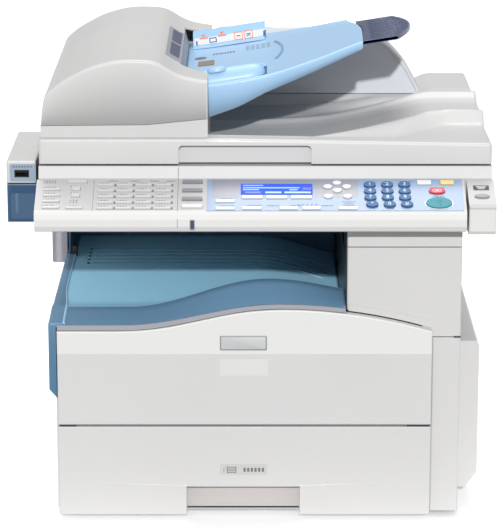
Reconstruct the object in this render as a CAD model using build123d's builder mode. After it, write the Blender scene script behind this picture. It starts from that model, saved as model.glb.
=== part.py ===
from build123d import *
import os
from math import atan2, cos, degrees, hypot, pi, radians, sin

# Desktop multifunction copier with a document feeder. Millimetres, +Z up, +Y towards the back.
# The origin is on the standing surface, at the centre of the whole machine's footprint.

# ---------------------------------------------------------------- overall sizes
overall_width = 485.0
overall_depth = 450.0
left_x = -overall_width / 2
right_x = overall_width / 2
front_y = -overall_depth / 2
rear_y = overall_depth / 2

# ---------------------------------------------------------------- walls and clearances
wall = 2.5              # moulded cover thickness
sheet = 2.0             # frame sheet metal
seam = 0.5              # gap between neighbouring covers
running = 0.05          # radial clearance of a shaft in its bearing
sliding = 0.5           # side clearance of a drawer, guide or key

# ---------------------------------------------------------------- places across the width
card_unit_width = 31.5
switch_unit_width = 27.0
panel_left = left_x + card_unit_width
switch_left = right_x - switch_unit_width
panel_right = switch_left - 2.5
front_left = panel_left + 18.0
column_right = panel_right - 1.0
column_strip = 29.0     # narrow strip of the right cover beside the door
front_right = column_right - column_strip
door_under_column = 85.5
column_left = front_right - door_under_column
scanner_left = panel_left + 1.5
scanner_right = right_x - 1.5
skirt_thickness = 5.5
skirt_left = front_left - 8.0

# ---------------------------------------------------------------- places along the depth
panel_depth = 48.5
scanner_front = front_y + panel_depth
lid_front = scanner_front + 5.5
door_front = front_y + 25.0
door_depth = 9.0
column_front = front_y + 35.0
frame_front = front_y + 41.0
rear_cover_depth = 20.0
scanner_rear = rear_y - rear_cover_depth
frame_rear = scanner_rear - 25.0
lid_rear = scanner_rear - 15.0
cavity_back = frame_rear - 13.0

# ---------------------------------------------------------------- heights
foot_height = 5.0
tray_top = 99.2
hinge_seam = 2.0        # dark gap between the drawer front and the door
door_bottom = tray_top + hinge_seam
door_low_top = 199.3    # top edge of the door at its left
column_seam = 191.0     # joint between the column and the right cover
column_band = 284.0     # joint between the column and its top cover
scanner_bottom = 300.0
scanner_top = 362.5
lid_gap = 2.0
lid_bottom = scanner_top + lid_gap
lid_top_left = 390.0
lid_top_right = 385.0
cavity_floor = 206.0
panel_bottom = 306.5
label_back_z = 350.0


# ---------------------------------------------------------------- helpers
def block(x, y, z, mode=Mode.ADD):
    """A box between the low and high value given for each axis."""
    with Locations(((x[0] + x[1]) / 2, (y[0] + y[1]) / 2, (z[0] + z[1]) / 2)):
        Box(x[1] - x[0], y[1] - y[0], z[1] - z[0], mode=mode)


def slab_along_x(outline, x, mode=Mode.ADD):
    """A closed (y, z) outline carried from x[0] to x[1]."""
    with BuildSketch(Plane.YZ.offset(x[0])) as face:
        with BuildLine():
            Polyline(*outline, close=True)
        make_face()
    extrude(face.sketch, amount=x[1] - x[0], mode=mode)


def slab_along_y(outline, y, mode=Mode.ADD):
    """A closed (x, z) outline carried from y[0] to y[1]."""
    with BuildSketch(Plane.XZ.offset(-y[0])) as face:
        with BuildLine():
            Polyline(*outline, close=True)
        make_face()
    extrude(face.sketch, amount=y[0] - y[1], mode=mode)


def rod_along_y(x, z, radius, y, mode=Mode.ADD):
    """A round bar on the line (x, z), from y[0] to y[1]."""
    with BuildSketch(Plane.XZ.offset(-y[0])) as face:
        with Locations((x, z)):
            Circle(radius)
    extrude(face.sketch, amount=y[0] - y[1], mode=mode)


def rod_along_x(y, z, radius, x, mode=Mode.ADD):
    """A round bar on the line (y, z), from x[0] to x[1]."""
    with BuildSketch(Plane.YZ.offset(x[0])) as face:
        with Locations((y, z)):
            Circle(radius)
    extrude(face.sketch, amount=x[1] - x[0], mode=mode)


def save(builder, label):
    """Names the finished piece and writes it to its own file."""
    builder.part.label = label
    export_step(builder.part, f"parts/{label}.step")


def cosine_step(x, start, end):
    """Rises smoothly from 0 at start to 1 at end."""
    share = min(max((x - start) / (end - start), 0.0), 1.0)
    return (1 - cos(pi * share)) / 2


def toward(point, target, distance):
    """The point moved the given distance towards the target."""
    run = hypot(target[0] - point[0], target[1] - point[1])
    return (
        point[0] + (target[0] - point[0]) * distance / run,
        point[1] + (target[1] - point[1]) * distance / run
    )


os.makedirs("parts", exist_ok=True)

# ================================================================ front wave
# The door's top edge is level at the left, rises in a cosine to its crest and falls as a parabola.
crest_x = column_left - 67.5
rise_length = 158.0
crest_rise = 22.5
fall_rate = 9.6e-4


def door_edge(x):
    """Height of the door's top edge."""
    rise = crest_rise * cosine_step(x, crest_x - rise_length, crest_x)
    fall = fall_rate * max(x - crest_x, 0.0) ** 2
    return door_low_top + rise - fall


def stations(low, high, count):
    """Evenly spaced values from low to high."""
    return [low + (high - low) * step / (count - 1) for step in range(count)]


# ================================================================ base frame and engine bearings
frame_left = front_left + 3.0
frame_right = front_right - 1.5
deck_z = 103.0
frame_side_top = 186.0
engine_left = column_left + wall + 2.0
engine_plate = (frame_front + 8.0, frame_front + 11.0)
rear_wall = (frame_rear - sheet, frame_rear)
shaft_radius = 4.0

drum_radius = 15.0
transfer_radius = 8.0
fuser_radius = 12.0
exit_radius = 6.0
pickup_radius = 11.0
nip = 0.4               # gap left between paired rollers

engine_x = front_right - 43.0
drum_at = (engine_x, 165.0)
transfer_at = (engine_x + drum_radius + transfer_radius + nip, 165.0)
fuser_at = (engine_x, 245.0)
pressure_at = (engine_x + 2 * fuser_radius + nip, 245.0)
exit_at = (column_left + 10.5, 272.0)
pickup_at = (engine_x, deck_z + 10.0)
shafts = (drum_at, transfer_at, fuser_at, pressure_at, exit_at, pickup_at)
pickup_slot_half = 48.0
bypass_inlet_y = (front_y + 105.0, rear_y - 105.0)
bypass_inlet_z = (108.0, 150.0)

with BuildPart() as base_frame:
    frame_y = (frame_front, frame_rear)
    block((frame_left, frame_right), frame_y, (foot_height, foot_height + sheet))
    block((frame_left, frame_left + sheet), frame_y, (foot_height, frame_side_top))
    block((frame_right - sheet, frame_right), frame_y, (foot_height, scanner_bottom - seam))
    block((frame_left, frame_right), rear_wall, (foot_height, scanner_bottom - seam))
    block((frame_left, frame_right), (engine_plate[0], frame_rear), (deck_z, deck_z + sheet))
    block((engine_left, frame_right), engine_plate, (deck_z, scanner_bottom - seam))
    block(
        (pickup_at[0] - pickup_radius - 3.0, pickup_at[0] + pickup_radius + 3.0),
        (-pickup_slot_half, pickup_slot_half), (deck_z - 1.0, deck_z + sheet + 1.0), mode=Mode.SUBTRACT,
    )
    block((frame_right - sheet - 1.0, frame_right + 1.0), bypass_inlet_y, bypass_inlet_z, mode=Mode.SUBTRACT)
    for centre in shafts:
        rod_along_y(*centre, shaft_radius + running, (frame_front, frame_rear + 1.0), mode=Mode.SUBTRACT)
save(base_frame, "base_frame")

foot_radius = 11.0
foot_inset = 24.0
with BuildPart() as rubber_feet:
    for foot_x in (frame_left + foot_inset, frame_right - foot_inset):
        for foot_y in (frame_front + foot_inset, frame_rear - foot_inset):
            with BuildSketch(Plane.XY) as foot:
                with Locations((foot_x, foot_y)):
                    Circle(foot_radius)
            extrude(foot.sketch, amount=foot_height)
save(rubber_feet, "rubber_feet")


# ---------------------------------------------------------------- rollers on shafts
def roller(at, radius, body_y):
    """A roller body on a shaft that runs in the front bearing plate and the rear wall."""
    rod_along_y(*at, shaft_radius, (engine_plate[0] - 2.0, frame_rear + 2.0))
    rod_along_y(*at, radius, body_y)


roller_y = (engine_plate[1] + 10.0, rear_wall[0] - 10.0)
with BuildPart() as photo_drum:
    roller(drum_at, drum_radius, roller_y)
    rod_along_y(*drum_at, drum_radius + 1.5, (roller_y[1], roller_y[1] + 6.0))
save(photo_drum, "photo_drum")

with BuildPart() as transfer_roller:
    roller(transfer_at, transfer_radius, (roller_y[0] + 4.0, roller_y[1] - 4.0))
save(transfer_roller, "transfer_roller")

with BuildPart() as fuser_roller:
    roller(fuser_at, fuser_radius, roller_y)
save(fuser_roller, "fuser_roller")

with BuildPart() as pressure_roller:
    roller(pressure_at, fuser_radius, roller_y)
save(pressure_roller, "pressure_roller")

exit_tyre_length = 24.0
with BuildPart() as exit_roller:
    rod_along_y(*exit_at, shaft_radius, (engine_plate[0] - 2.0, frame_rear + 2.0))
    for tyre_y in (-105.0, -35.0, 35.0, 105.0):
        rod_along_y(*exit_at, exit_radius, (tyre_y - exit_tyre_length / 2, tyre_y + exit_tyre_length / 2))
save(exit_roller, "exit_roller")

with BuildPart() as pickup_roller:
    rod_along_y(*pickup_at, shaft_radius, (engine_plate[0] - 2.0, frame_rear + 2.0))
    for tyre_y in (-25.0, 25.0):
        rod_along_y(*pickup_at, pickup_radius, (tyre_y - 14.0, tyre_y + 14.0))
save(pickup_roller, "pickup_roller")

# ---------------------------------------------------------------- toner bottle and inner cover
toner_radius = 26.0
toner_at = (column_left - 32.5, 150.0)
inner_cover_y = (frame_front, frame_front + wall)
toner_y = (frame_front - 1.0, frame_rear - 40.0)
with BuildPart() as toner_bottle:
    rod_along_y(*toner_at, toner_radius, (toner_y[0] + 6.0, toner_y[1]))
    rod_along_y(*toner_at, toner_radius - 5.0, (toner_y[0], toner_y[0] + 6.0))
    rod_along_y(*toner_at, toner_radius - 12.0, (toner_y[1], toner_y[1] + 12.0))
    for ring_y in stations(toner_y[0] + 60.0, toner_y[1] - 40.0, 7):
        rod_along_y(*toner_at, toner_radius + 1.5, (ring_y, ring_y + 4.0))
save(toner_bottle, "toner_bottle")

with BuildPart() as inner_cover:
    block(
        (frame_left + sheet + seam, frame_right - sheet - seam), inner_cover_y,
        (deck_z + 3.0, column_seam - 3.0)
    )
    rod_along_y(
        *toner_at, toner_radius + 2.5, (frame_front - 1.0, frame_front + wall + 1.0), mode=Mode.SUBTRACT
    )
    rod_along_y(
        *drum_at, drum_radius + 4.0, (frame_front - 1.0, frame_front + wall + 1.0), mode=Mode.SUBTRACT
    )
save(inner_cover, "inner_cover")

laser_x = (frame_left + 110.0, toner_at[0] - toner_radius - 12.0)
laser_y = (frame_front + 55.0, frame_rear - 60.0)
laser_z = (deck_z + 22.0, 170.0)
with BuildPart() as laser_unit:
    block(laser_x, laser_y, laser_z)
    fillet(laser_unit.edges().filter_by(Axis.Z), 6)
    block(
        (laser_x[0] + wall, laser_x[1] - wall), (laser_y[0] + wall, laser_y[1] - wall),
        (laser_z[0] + wall, laser_z[1] - wall), mode=Mode.SUBTRACT,
    )
    block(
        (laser_x[1] - wall - 1.0, laser_x[1] + 1.0), (laser_y[0] + 20.0, laser_y[1] - 20.0),
        (laser_z[1] - 16.0, laser_z[1] - 10.0), mode=Mode.SUBTRACT,
    )
    for leg_x in (laser_x[0] + 12.0, laser_x[1] - 12.0):
        for leg_y in (laser_y[0] + 12.0, laser_y[1] - 12.0):
            block((leg_x - 5.0, leg_x + 5.0), (leg_y - 5.0, leg_y + 5.0), (deck_z + sheet, laser_z[0]))
save(laser_unit, "laser_unit")

supply_x = (frame_left + sheet + 6.0, laser_x[0] - 12.0)
supply_y = (frame_rear - 150.0, frame_rear - 12.0)
with BuildPart() as power_supply:
    block(supply_x, supply_y, (deck_z + sheet + 6.0, deck_z + sheet + 8.0))
    for post_x in (supply_x[0] + 5.0, supply_x[1] - 5.0):
        for post_y in (supply_y[0] + 5.0, supply_y[1] - 5.0):
            block(
                (post_x - 3.0, post_x + 3.0), (post_y - 3.0, post_y + 3.0),
                (deck_z + sheet, deck_z + sheet + 6.0)
            )
    for part_x, part_y, part_size, part_height in (
        (20, 25, 26, 30), (22, 70, 30, 34), (60, 40, 20, 24), (62, 95, 22, 28)
    ):
        block(
            (supply_x[0] + part_x - part_size / 2, supply_x[0] + part_x + part_size / 2),
            (supply_y[0] + part_y - part_size / 2, supply_y[0] + part_y + part_size / 2),
            (deck_z + sheet + 8.0, deck_z + sheet + 8.0 + part_height),
        )
save(power_supply, "power_supply")

# ================================================================ outer covers
left_cover_x = (front_left - wall, front_left)
skirt_bottom = 136.0
with BuildPart() as left_cover:
    block(left_cover_x, (frame_front, scanner_rear - seam), (foot_height + 3.0, skirt_bottom - seam))
    block(
        left_cover_x, (cavity_back + 4.0, scanner_rear - seam),
        (skirt_bottom - seam - 1.0, scanner_bottom - seam)
    )
    block(
        (left_cover_x[0], front_left + 2.0), (frame_front, frame_front + wall),
        (foot_height + 3.0, skirt_bottom - seam),
    )
save(left_cover, "left_cover")

right_wall_x = (column_right - wall, column_right)
cover_y = (column_front, scanner_rear - seam)
with BuildPart() as right_cover:
    block(
        (front_right + seam, column_right), (column_front, column_front + wall),
        (foot_height + 1.0, column_seam - seam)
    )
    block(right_wall_x, cover_y, (foot_height + 1.0, column_seam - seam))
    block(
        (front_right + seam, front_right + seam + wall), (column_front, frame_front + 2.0),
        (foot_height + 1.0, column_seam - seam),
    )
    fillet(
        right_cover.edges().filter_by(Axis.Z).filter_by_position(Axis.Y, column_front - 0.1, column_front + 0.1), 2,
    )
    block((column_right - wall - 1.0, column_right + 1.0), bypass_inlet_y, bypass_inlet_z, mode=Mode.SUBTRACT)
save(right_cover, "right_cover")

# The column's front runs down behind the door's sloping edge.
column_tuck = 2.0
with BuildPart() as column_cover:
    with BuildSketch(Plane.XZ.offset(-column_front)) as column_face:
        with BuildLine():
            hem = Spline(
                *[(x, door_edge(x) + column_tuck) for x in stations(column_left, front_right - 12.0, 5)]
            )
            Polyline(
                hem @ 1, (front_right + seam, column_seam + seam), (column_right, column_seam + seam),
                (column_right, column_band - seam), (column_left, column_band - seam), hem @ 0,
            )
        make_face()
    extrude(column_face.sketch, amount=-wall)
    block(right_wall_x, cover_y, (column_seam + seam, column_band - seam))
    block(
        (column_left, column_left + wall), (column_front, frame_front),
        (column_seam + 40.0, column_band - seam)
    )
    fillet(
        column_cover.edges().filter_by(Axis.Z).filter_by_position(Axis.Y, column_front - 0.1, column_front + 0.1), 2,
    )
save(column_cover, "column_cover")

with BuildPart() as column_top_cover:
    band_z = (column_band + seam, scanner_bottom - seam)
    block((column_left, column_right), (column_front, column_front + wall), band_z)
    block(right_wall_x, cover_y, band_z)
    block((column_left, column_left + wall), (column_front, frame_front), band_z)
    fillet(
        column_top_cover.edges().filter_by(Axis.Z).filter_by_position(
            Axis.Y, column_front - 0.1, column_front + 0.1
        ),
        2,
    )
save(column_top_cover, "column_top_cover")

inlet_at = (front_right - 40.0, 34.0)
inlet_size = (27.0, 19.5)
inlet_depth = 17.0
vent_pitch = 8.0
with BuildPart() as rear_cover:
    block(
        (front_left - wall, column_right), (scanner_rear, rear_y),
        (foot_height + 3.0, scanner_bottom - seam)
    )
    fillet(rear_cover.edges().filter_by_position(Axis.Y, rear_y - 0.1, rear_y + 0.1), 3)
    block(
        (front_left, column_right - wall), (scanner_rear - 1.0, rear_y - wall),
        (foot_height + 3.0 + wall, scanner_bottom - seam - wall), mode=Mode.SUBTRACT,
    )
    for row in range(9):
        vent_z = 225.0 + row * vent_pitch - 36.0
        block((front_left + 25.0, front_left + 95.0), (rear_y - wall - 1.0, rear_y + 1.0), (vent_z, vent_z + 3.5),
              mode=Mode.SUBTRACT)
    block(
        (inlet_at[0] - inlet_size[0] / 2 - 0.2, inlet_at[0] + inlet_size[0] / 2 + 0.2), (
            rear_y - wall - 1.0, rear_y + 1.0
        ),
        (inlet_at[1] - inlet_size[1] / 2 - 0.2, inlet_at[1] + inlet_size[1] / 2 + 0.2), mode=Mode.SUBTRACT,
    )
save(rear_cover, "rear_cover")

with BuildPart() as power_inlet:
    inlet_x = (inlet_at[0] - inlet_size[0] / 2, inlet_at[0] + inlet_size[0] / 2)
    inlet_z = (inlet_at[1] - inlet_size[1] / 2, inlet_at[1] + inlet_size[1] / 2)
    block(inlet_x, (rear_y - inlet_depth, rear_y - 0.5), inlet_z)
    block((inlet_x[0] + 2.0, inlet_x[1] - 2.0), (rear_y - inlet_depth + 2.0, rear_y), (inlet_z[0] + 2.0, inlet_z[1] - 2.0),
          mode=Mode.SUBTRACT)
    for pin_x, pin_z in ((-7.0, -2.0), (0.0, 2.0), (7.0, -2.0)):
        block(
            (inlet_at[0] + pin_x - 1.0, inlet_at[0] + pin_x + 1.0), (
                rear_y - inlet_depth + 1.0, rear_y - 3.0
            ),
            (inlet_at[1] + pin_z - 2.0, inlet_at[1] + pin_z + 2.0),
        )
save(power_inlet, "power_inlet")

# ================================================================ output cavity
# The tray's front edge follows the door; behind it the lip climbs to a crest and drops to the floor.
band_height = 7.0
tray_sheet = 2.5
lip_front_y = door_front + 2.0
lip_crest_y = door_front + 50.0
floor_start_y = door_front + 78.0
lip_crest_base = 210.8


def lip_edge(x):
    """Height of the tray's front edge, above the grey band."""
    return door_edge(x) + band_height - 2.0 * cosine_step(x, crest_x - rise_length, crest_x)


def lip_crest(x):
    """Height of the tray's crest."""
    rise = 29.5 * cosine_step(x, crest_x - 152.0, crest_x - 10.0)
    fall = 15.5 * cosine_step(x, crest_x - 10.0, crest_x + 110.0)
    return lip_crest_base + rise - fall


def floor_height(x):
    """Height of the tray's floor, which falls towards the paper exit."""
    return cavity_floor - 22.0 * cosine_step(x, crest_x - 24.0, crest_x + 88.0)


tray_right = column_left - 1.0 - seam
tray_left = skirt_left + 2.5
with BuildPart() as output_tray:
    for height, y in (
        (lip_edge, lip_front_y), (lip_crest, lip_crest_y), (floor_height, floor_start_y), (floor_height, cavity_back),
    ):
        with BuildSketch(Plane.XZ.offset(-y)):
            with BuildLine():
                places = stations(tray_left, tray_right, 9)
                upper = Spline(*[(x, height(x)) for x in places])
                lower = Spline(*[(x, height(x) - tray_sheet) for x in places])
                Line(upper @ 0, lower @ 0)
                Line(upper @ 1, lower @ 1)
            make_face()
    loft(ruled=True)
    skirt_y = (lip_front_y, cavity_back)
    block((skirt_left, skirt_left + skirt_thickness), skirt_y, (skirt_bottom, cavity_floor + 2.0))
    fillet(output_tray.edges().filter_by(Axis.Y).sort_by(Axis.X)[:1], 2)
    back_wall_y = (cavity_back - wall, cavity_back)
    block((tray_left, tray_right), back_wall_y, (floor_height(tray_right) - 1.0, scanner_bottom - seam))
    block(
        (tray_left, tray_left + wall), (cavity_back - 92.0, cavity_back),
        (cavity_floor - 1.0, scanner_bottom - seam)
    )
save(output_tray, "output_tray")

trim_gap = 0.6
with BuildPart() as front_trim:
    with BuildSketch(Plane.XZ.offset(-(door_front + 1.0))) as trim_face:
        with BuildLine():
            places = stations(front_left + 0.5, column_left - 1.0, 8)
            upper = Spline(*[(x, lip_edge(x) - tray_sheet - seam) for x in places])
            lower = Spline(*[(x, door_edge(x) + trim_gap) for x in places])
            Line(upper @ 0, lower @ 0)
            Line(upper @ 1, lower @ 1)
        make_face()
    extrude(trim_face.sketch, amount=-(door_depth - 1.5))
save(front_trim, "front_trim")

exit_slot_half = 125.0
with BuildPart() as exit_panel:
    exit_x = (column_left - 1.0, column_left + 1.5)
    block(
        exit_x, (inner_cover_y[1] + seam, cavity_back),
        (floor_height(tray_right) - 4.0, scanner_bottom - seam)
    )
    block(
        (exit_x[0] - 1.0, exit_x[1] + 1.0), (-exit_slot_half, exit_slot_half),
        (exit_at[1] - 8.0, exit_at[1] + 8.0), mode=Mode.SUBTRACT,
    )
save(exit_panel, "exit_panel")

# ================================================================ front door
# A shallow pan, hinged along its bottom edge, with its hinge pins at both ends of the dark seam.
hinge_y = door_front + 2.5
hinge_z = door_bottom + 2.5
door_rib = 2.0
with BuildPart() as front_door:
    with BuildSketch(Plane.XZ.offset(-door_front)) as door_face:
        with BuildLine():
            edge = Spline(*[(x, door_edge(x)) for x in stations(front_left, front_right, 9)])
            Polyline(edge @ 1, (front_right, door_bottom), (front_left, door_bottom), edge @ 0)
        make_face()
    extrude(door_face.sketch, amount=-door_depth)
    fillet(front_door.edges().filter_by_position(Axis.Y, door_front - 0.01, door_front + 0.01), 1.5)
    with BuildSketch(Plane.XZ.offset(-(door_front + wall))) as door_pocket:
        with BuildLine():
            inner = Spline(
                *[(x, door_edge(x) - wall) for x in stations(front_left + wall, front_right - wall, 9)]
            )
            Polyline(
                inner @ 1, (front_right - wall, door_bottom + wall), (front_left + wall, door_bottom + wall), inner @ 0,
            )
        make_face()
    extrude(door_pocket.sketch, amount=-door_depth, mode=Mode.SUBTRACT)
    for rib_x in stations(front_left + 60.0, front_right - 60.0, 4):
        block(
            (rib_x - door_rib / 2, rib_x + door_rib / 2), (
                door_front + wall - 1.0, door_front + door_depth - 1.0
            ),
            (door_bottom + 1.0, column_seam),
        )
save(front_door, "front_door")

# ================================================================ paper drawer
drawer_panel_depth = 14.0
grip_x = (-64.0, 51.0)
grip_top = 35.5
grip_setback = 18.0
drawer_floor_z = foot_height + sheet + 1.0
drawer_x = (frame_left + sheet + sliding, frame_right - sheet - sliding)
drawer_y = (door_front + drawer_panel_depth, rear_wall[0] - 4.0)
drawer_top = 95.0
with BuildPart() as drawer_front:
    block((front_left, front_right), (door_front, door_front + drawer_panel_depth), (foot_height, tray_top))
    fillet(drawer_front.edges().filter_by(Axis.Y).filter_by_position(Axis.Z, 0, foot_height + 0.1), 4)
    fillet(drawer_front.edges().filter_by_position(Axis.Y, door_front - 0.01, door_front + 0.01), 1)
    block(
        (front_left + wall, front_right - wall), (door_front + wall, door_front + drawer_panel_depth + 1.0),
        (grip_top + wall, tray_top - wall), mode=Mode.SUBTRACT,
    )
    block(
        grip_x, (door_front - 1.0, door_front + drawer_panel_depth + 1.0), (foot_height - 1.0, grip_top),
        mode=Mode.SUBTRACT
    )
save(drawer_front, "drawer_front")

with BuildPart() as drawer_box:
    block(drawer_x, drawer_y, (drawer_floor_z, drawer_top))
    block(
        (drawer_x[0] + wall, drawer_x[1] - wall), (drawer_y[0] + wall, drawer_y[1] - wall),
        (drawer_floor_z + wall, drawer_top + 1.0), mode=Mode.SUBTRACT,
    )
    block(
        (grip_x[0] + seam, grip_x[1] - seam), (drawer_y[0] - 1.0, door_front + grip_setback),
        (drawer_floor_z - 1.0, grip_top - seam), mode=Mode.SUBTRACT,
    )
    block(
        (grip_x[0] - wall, grip_x[1] + wall), (door_front + grip_setback, door_front + grip_setback + wall),
        (drawer_floor_z, grip_top + 3.0),
    )
    block(
        (grip_x[0] - wall, grip_x[1] + wall), (drawer_y[0], door_front + grip_setback + wall),
        (grip_top + seam, grip_top + 3.0),
    )
    for cheek_x in (grip_x[0] - wall, grip_x[1]):
        block(
            (cheek_x, cheek_x + wall), (drawer_y[0], door_front + grip_setback + wall),
            (drawer_floor_z, grip_top + 3.0)
        )
save(drawer_box, "drawer_box")

# The sheets lie with their long edge across the feed, against the right-hand end of the drawer.
sheet_length = 279.4
sheet_width = 215.9
sheet_right = drawer_x[1] - wall - 3.0
sheet_left = sheet_right - sheet_width
plate_z = drawer_floor_z + wall + 1.5
plate_left = sheet_left + 10.0
plate_half = 95.0
fence_base = 3.0
fence_width = 60.0
fence_x = sheet_right - 120.0
with BuildPart() as lift_plate:
    block((plate_left, sheet_right), (-plate_half, plate_half), (plate_z, plate_z + sheet))
    block(
        (plate_left - 1.0, plate_left + 60.0), (-14.0, 14.0), (plate_z - 1.0, plate_z + sheet + 1.0),
        mode=Mode.SUBTRACT
    )
save(lift_plate, "lift_plate")

floor_top = drawer_floor_z + wall
with BuildPart() as front_fence:
    fence_y = -sheet_length / 2
    block((fence_x, fence_x + fence_width), (fence_y - wall, fence_y), (floor_top + 0.3, drawer_top - 6.0))
    block(
        (fence_x, fence_x + fence_width), (fence_y - 18.0, fence_y),
        (floor_top + 0.3, floor_top + 0.3 + fence_base)
    )
save(front_fence, "front_fence")

with BuildPart() as rear_fence:
    fence_y = sheet_length / 2
    block((fence_x, fence_x + fence_width), (fence_y, fence_y + wall), (floor_top + 0.3, drawer_top - 6.0))
    block(
        (fence_x, fence_x + fence_width), (fence_y, fence_y + 18.0),
        (floor_top + 0.3, floor_top + 0.3 + fence_base)
    )
save(rear_fence, "rear_fence")

with BuildPart() as end_fence:
    block((sheet_left - wall, sheet_left), (-12.0, 12.0), (floor_top + 0.3, drawer_top - 6.0))
    block((sheet_left - 36.0, sheet_left), (-12.0, 12.0), (floor_top + 0.3, floor_top + 0.3 + fence_base))
    slab_along_y(
        [
            (sheet_left - 30.0, floor_top + 2.0), (sheet_left - 1.0, floor_top + 2.0),
            (sheet_left - 1.0, drawer_top - 20.0)
        ],
        (-1.5, 1.5),
    )
save(end_fence, "end_fence")

# ================================================================ bypass tray on the right side
bypass_depth = 23.5
bypass_y = (column_front + 50.0, rear_y - 75.0)
bypass_z = (14.0, 172.0)
bypass_x = (column_right + 0.5, column_right + bypass_depth)
bypass_chamfer = (12.0, 16.5)
with BuildPart() as bypass_tray:
    slab_along_y(
        [
            (bypass_x[0], bypass_z[0]), (bypass_x[1] - bypass_chamfer[0], bypass_z[0]),
            (bypass_x[1], bypass_z[0] + bypass_chamfer[1]), (bypass_x[1], bypass_z[1] - 6.0),
            (bypass_x[1] - 3.0, bypass_z[1]), (bypass_x[0], bypass_z[1]),
        ],
        bypass_y,
    )
    block(
        (bypass_x[0] - 1.0, bypass_x[1] - wall - 2.0), (bypass_y[0] + wall, bypass_y[1] - wall),
        (bypass_z[0] + bypass_chamfer[1] + 4.0, bypass_z[1] - wall), mode=Mode.SUBTRACT,
    )
save(bypass_tray, "bypass_tray")

# ================================================================ scanner
glass_thickness = 3.0
glass_x = (scanner_left + 62.0, scanner_right - 72.0)
glass_y = (scanner_front + 58.0, scanner_rear - 92.0)
strip_x = (scanner_left + 22.0, scanner_left + 48.0)
ledge = 4.0
frame_sheet = 5.0
with BuildPart() as scanner_case:
    slab_along_x(
        [
            (scanner_front, scanner_bottom), (scanner_front, label_back_z + 1.0), (
                scanner_front + 4.0, scanner_top
            ),
            (scanner_rear, scanner_top), (scanner_rear, scanner_bottom),
        ],
        (scanner_left, scanner_right),
    )
    fillet(scanner_case.edges().filter_by(Axis.Z).group_by(Axis.Y)[-1], 6)
    block(
        (scanner_left + wall, scanner_right - wall), (scanner_front + 4.0 + wall, scanner_rear - wall),
        (scanner_bottom + wall, scanner_top - frame_sheet), mode=Mode.SUBTRACT,
    )
    for pane_x in (glass_x, strip_x):
        block(
            (pane_x[0] + ledge, pane_x[1] - ledge), (glass_y[0] + ledge, glass_y[1] - ledge),
            (scanner_top - frame_sheet - 1.0, scanner_top + 1.0), mode=Mode.SUBTRACT,
        )
        block(pane_x, glass_y, (scanner_top - glass_thickness, scanner_top + 1.0), mode=Mode.SUBTRACT)
save(scanner_case, "scanner_case")

with BuildPart() as platen_glass:
    for pane_x in (glass_x, strip_x):
        block(
            (pane_x[0] + 0.2, pane_x[1] - 0.2), (glass_y[0] + 0.2, glass_y[1] - 0.2),
            (scanner_top - glass_thickness + 0.05, scanner_top - 0.05),
        )
save(platen_glass, "platen_glass")

# The lamp and sensor bar runs on a round rod below the glass, at home under the narrow pane.
carriage_z = scanner_bottom + 18.0
carriage_width = 26.0
rod_radius = 4.0
with BuildPart() as scan_carriage:
    carriage_x = (strip_x[0], strip_x[0] + carriage_width)
    block(carriage_x, (glass_y[0] + 6.0, glass_y[1] - 6.0), (carriage_z - 8.0, carriage_z + 20.0))
    block(
        (carriage_x[0] + 9.0, carriage_x[1] - 9.0), (glass_y[0] + 12.0, glass_y[1] - 12.0),
        (carriage_z + 14.0, carriage_z + 21.0), mode=Mode.SUBTRACT,
    )
    rod_along_x(
        0.0, carriage_z, rod_radius + running, (carriage_x[0] - 1.0, carriage_x[1] + 1.0),
        mode=Mode.SUBTRACT
    )
save(scan_carriage, "scan_carriage")

with BuildPart() as carriage_rod:
    rod_along_x(0.0, carriage_z, rod_radius, (scanner_left + wall, scanner_right - wall))
save(carriage_rod, "carriage_rod")

# ================================================================ operation panel
label_slope_length = 50.0
label_angle = 25.5
label_back_y = scanner_front - seam
label_front = (
    label_back_y - label_slope_length * cos(radians(label_angle)),
    label_back_z - label_slope_length * sin(radians(label_angle)),
)
label_sheet = 0.6
key_travel = 1.0
key_gap = 0.3
key_well = 5.0
key_plane = Plane(
    origin=(0, label_back_y, label_back_z), x_dir=(1, 0, 0),
    z_dir=(0, -sin(radians(label_angle)), cos(radians(label_angle))),
)
lcd_left = panel_left + 202.5
keypad_x = panel_right - 94.0

# Each key is its centre along the panel, its distance down the slope, its width and its height.
key_rows = (10.0, 20.2, 30.3, 40.8)
number_key_places = [
    (
        keypad_x + 17.1 * column + 1.5 * (row == 3), key_rows[row], 11.8, 8.6
    ) for row in range(4) for column in range(3)
]
start_key_place = [(panel_right - 26.8, 38.6, 25.5, 16.2)]
stop_key_place = [(panel_right - 27.9, 19.8, 16.0, 8.8)]
cursor_key_places = [
    (keypad_x - 32.4, 7.0, 8.4, 5.6), (keypad_x - 41.7, 12.9, 8.4, 5.6), (keypad_x - 22.8, 12.9, 8.4, 5.6),
    (keypad_x - 32.2, 18.8, 8.4, 5.6), (keypad_x - 41.3, 28.0, 8.4, 5.6), (keypad_x - 22.4, 28.0, 8.4, 5.6),
]
display_key_places = [
    (lcd_left + 11.2, 29.0, 20.4, 4.4), (lcd_left + 35.4, 29.0, 20.4, 4.4), (
        lcd_left + 59.7, 29.0, 20.4, 4.4
    ),
    (lcd_left + 10.9, 46.2, 18.5, 3.8), (lcd_left + 47.0, 46.2, 17.6, 3.8), (
        lcd_left + 69.3, 46.2, 17.6, 3.8
    ),
    (lcd_left + 105.1, 46.2, 18.5, 3.8), (lcd_left - 15.4, 35.2, 18.5, 3.8), (
        lcd_left - 15.4, 46.6, 18.5, 3.8
    ),
    (panel_right - 40.0, 6.2, 13.8, 6.2), (panel_right - 17.3, 6.2, 13.3, 6.2),
]
function_key_places = [(panel_left + 154.6, down, 19.8, 4.4) for down in (4.6, 17.9, 31.2, 42.7)]
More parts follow.
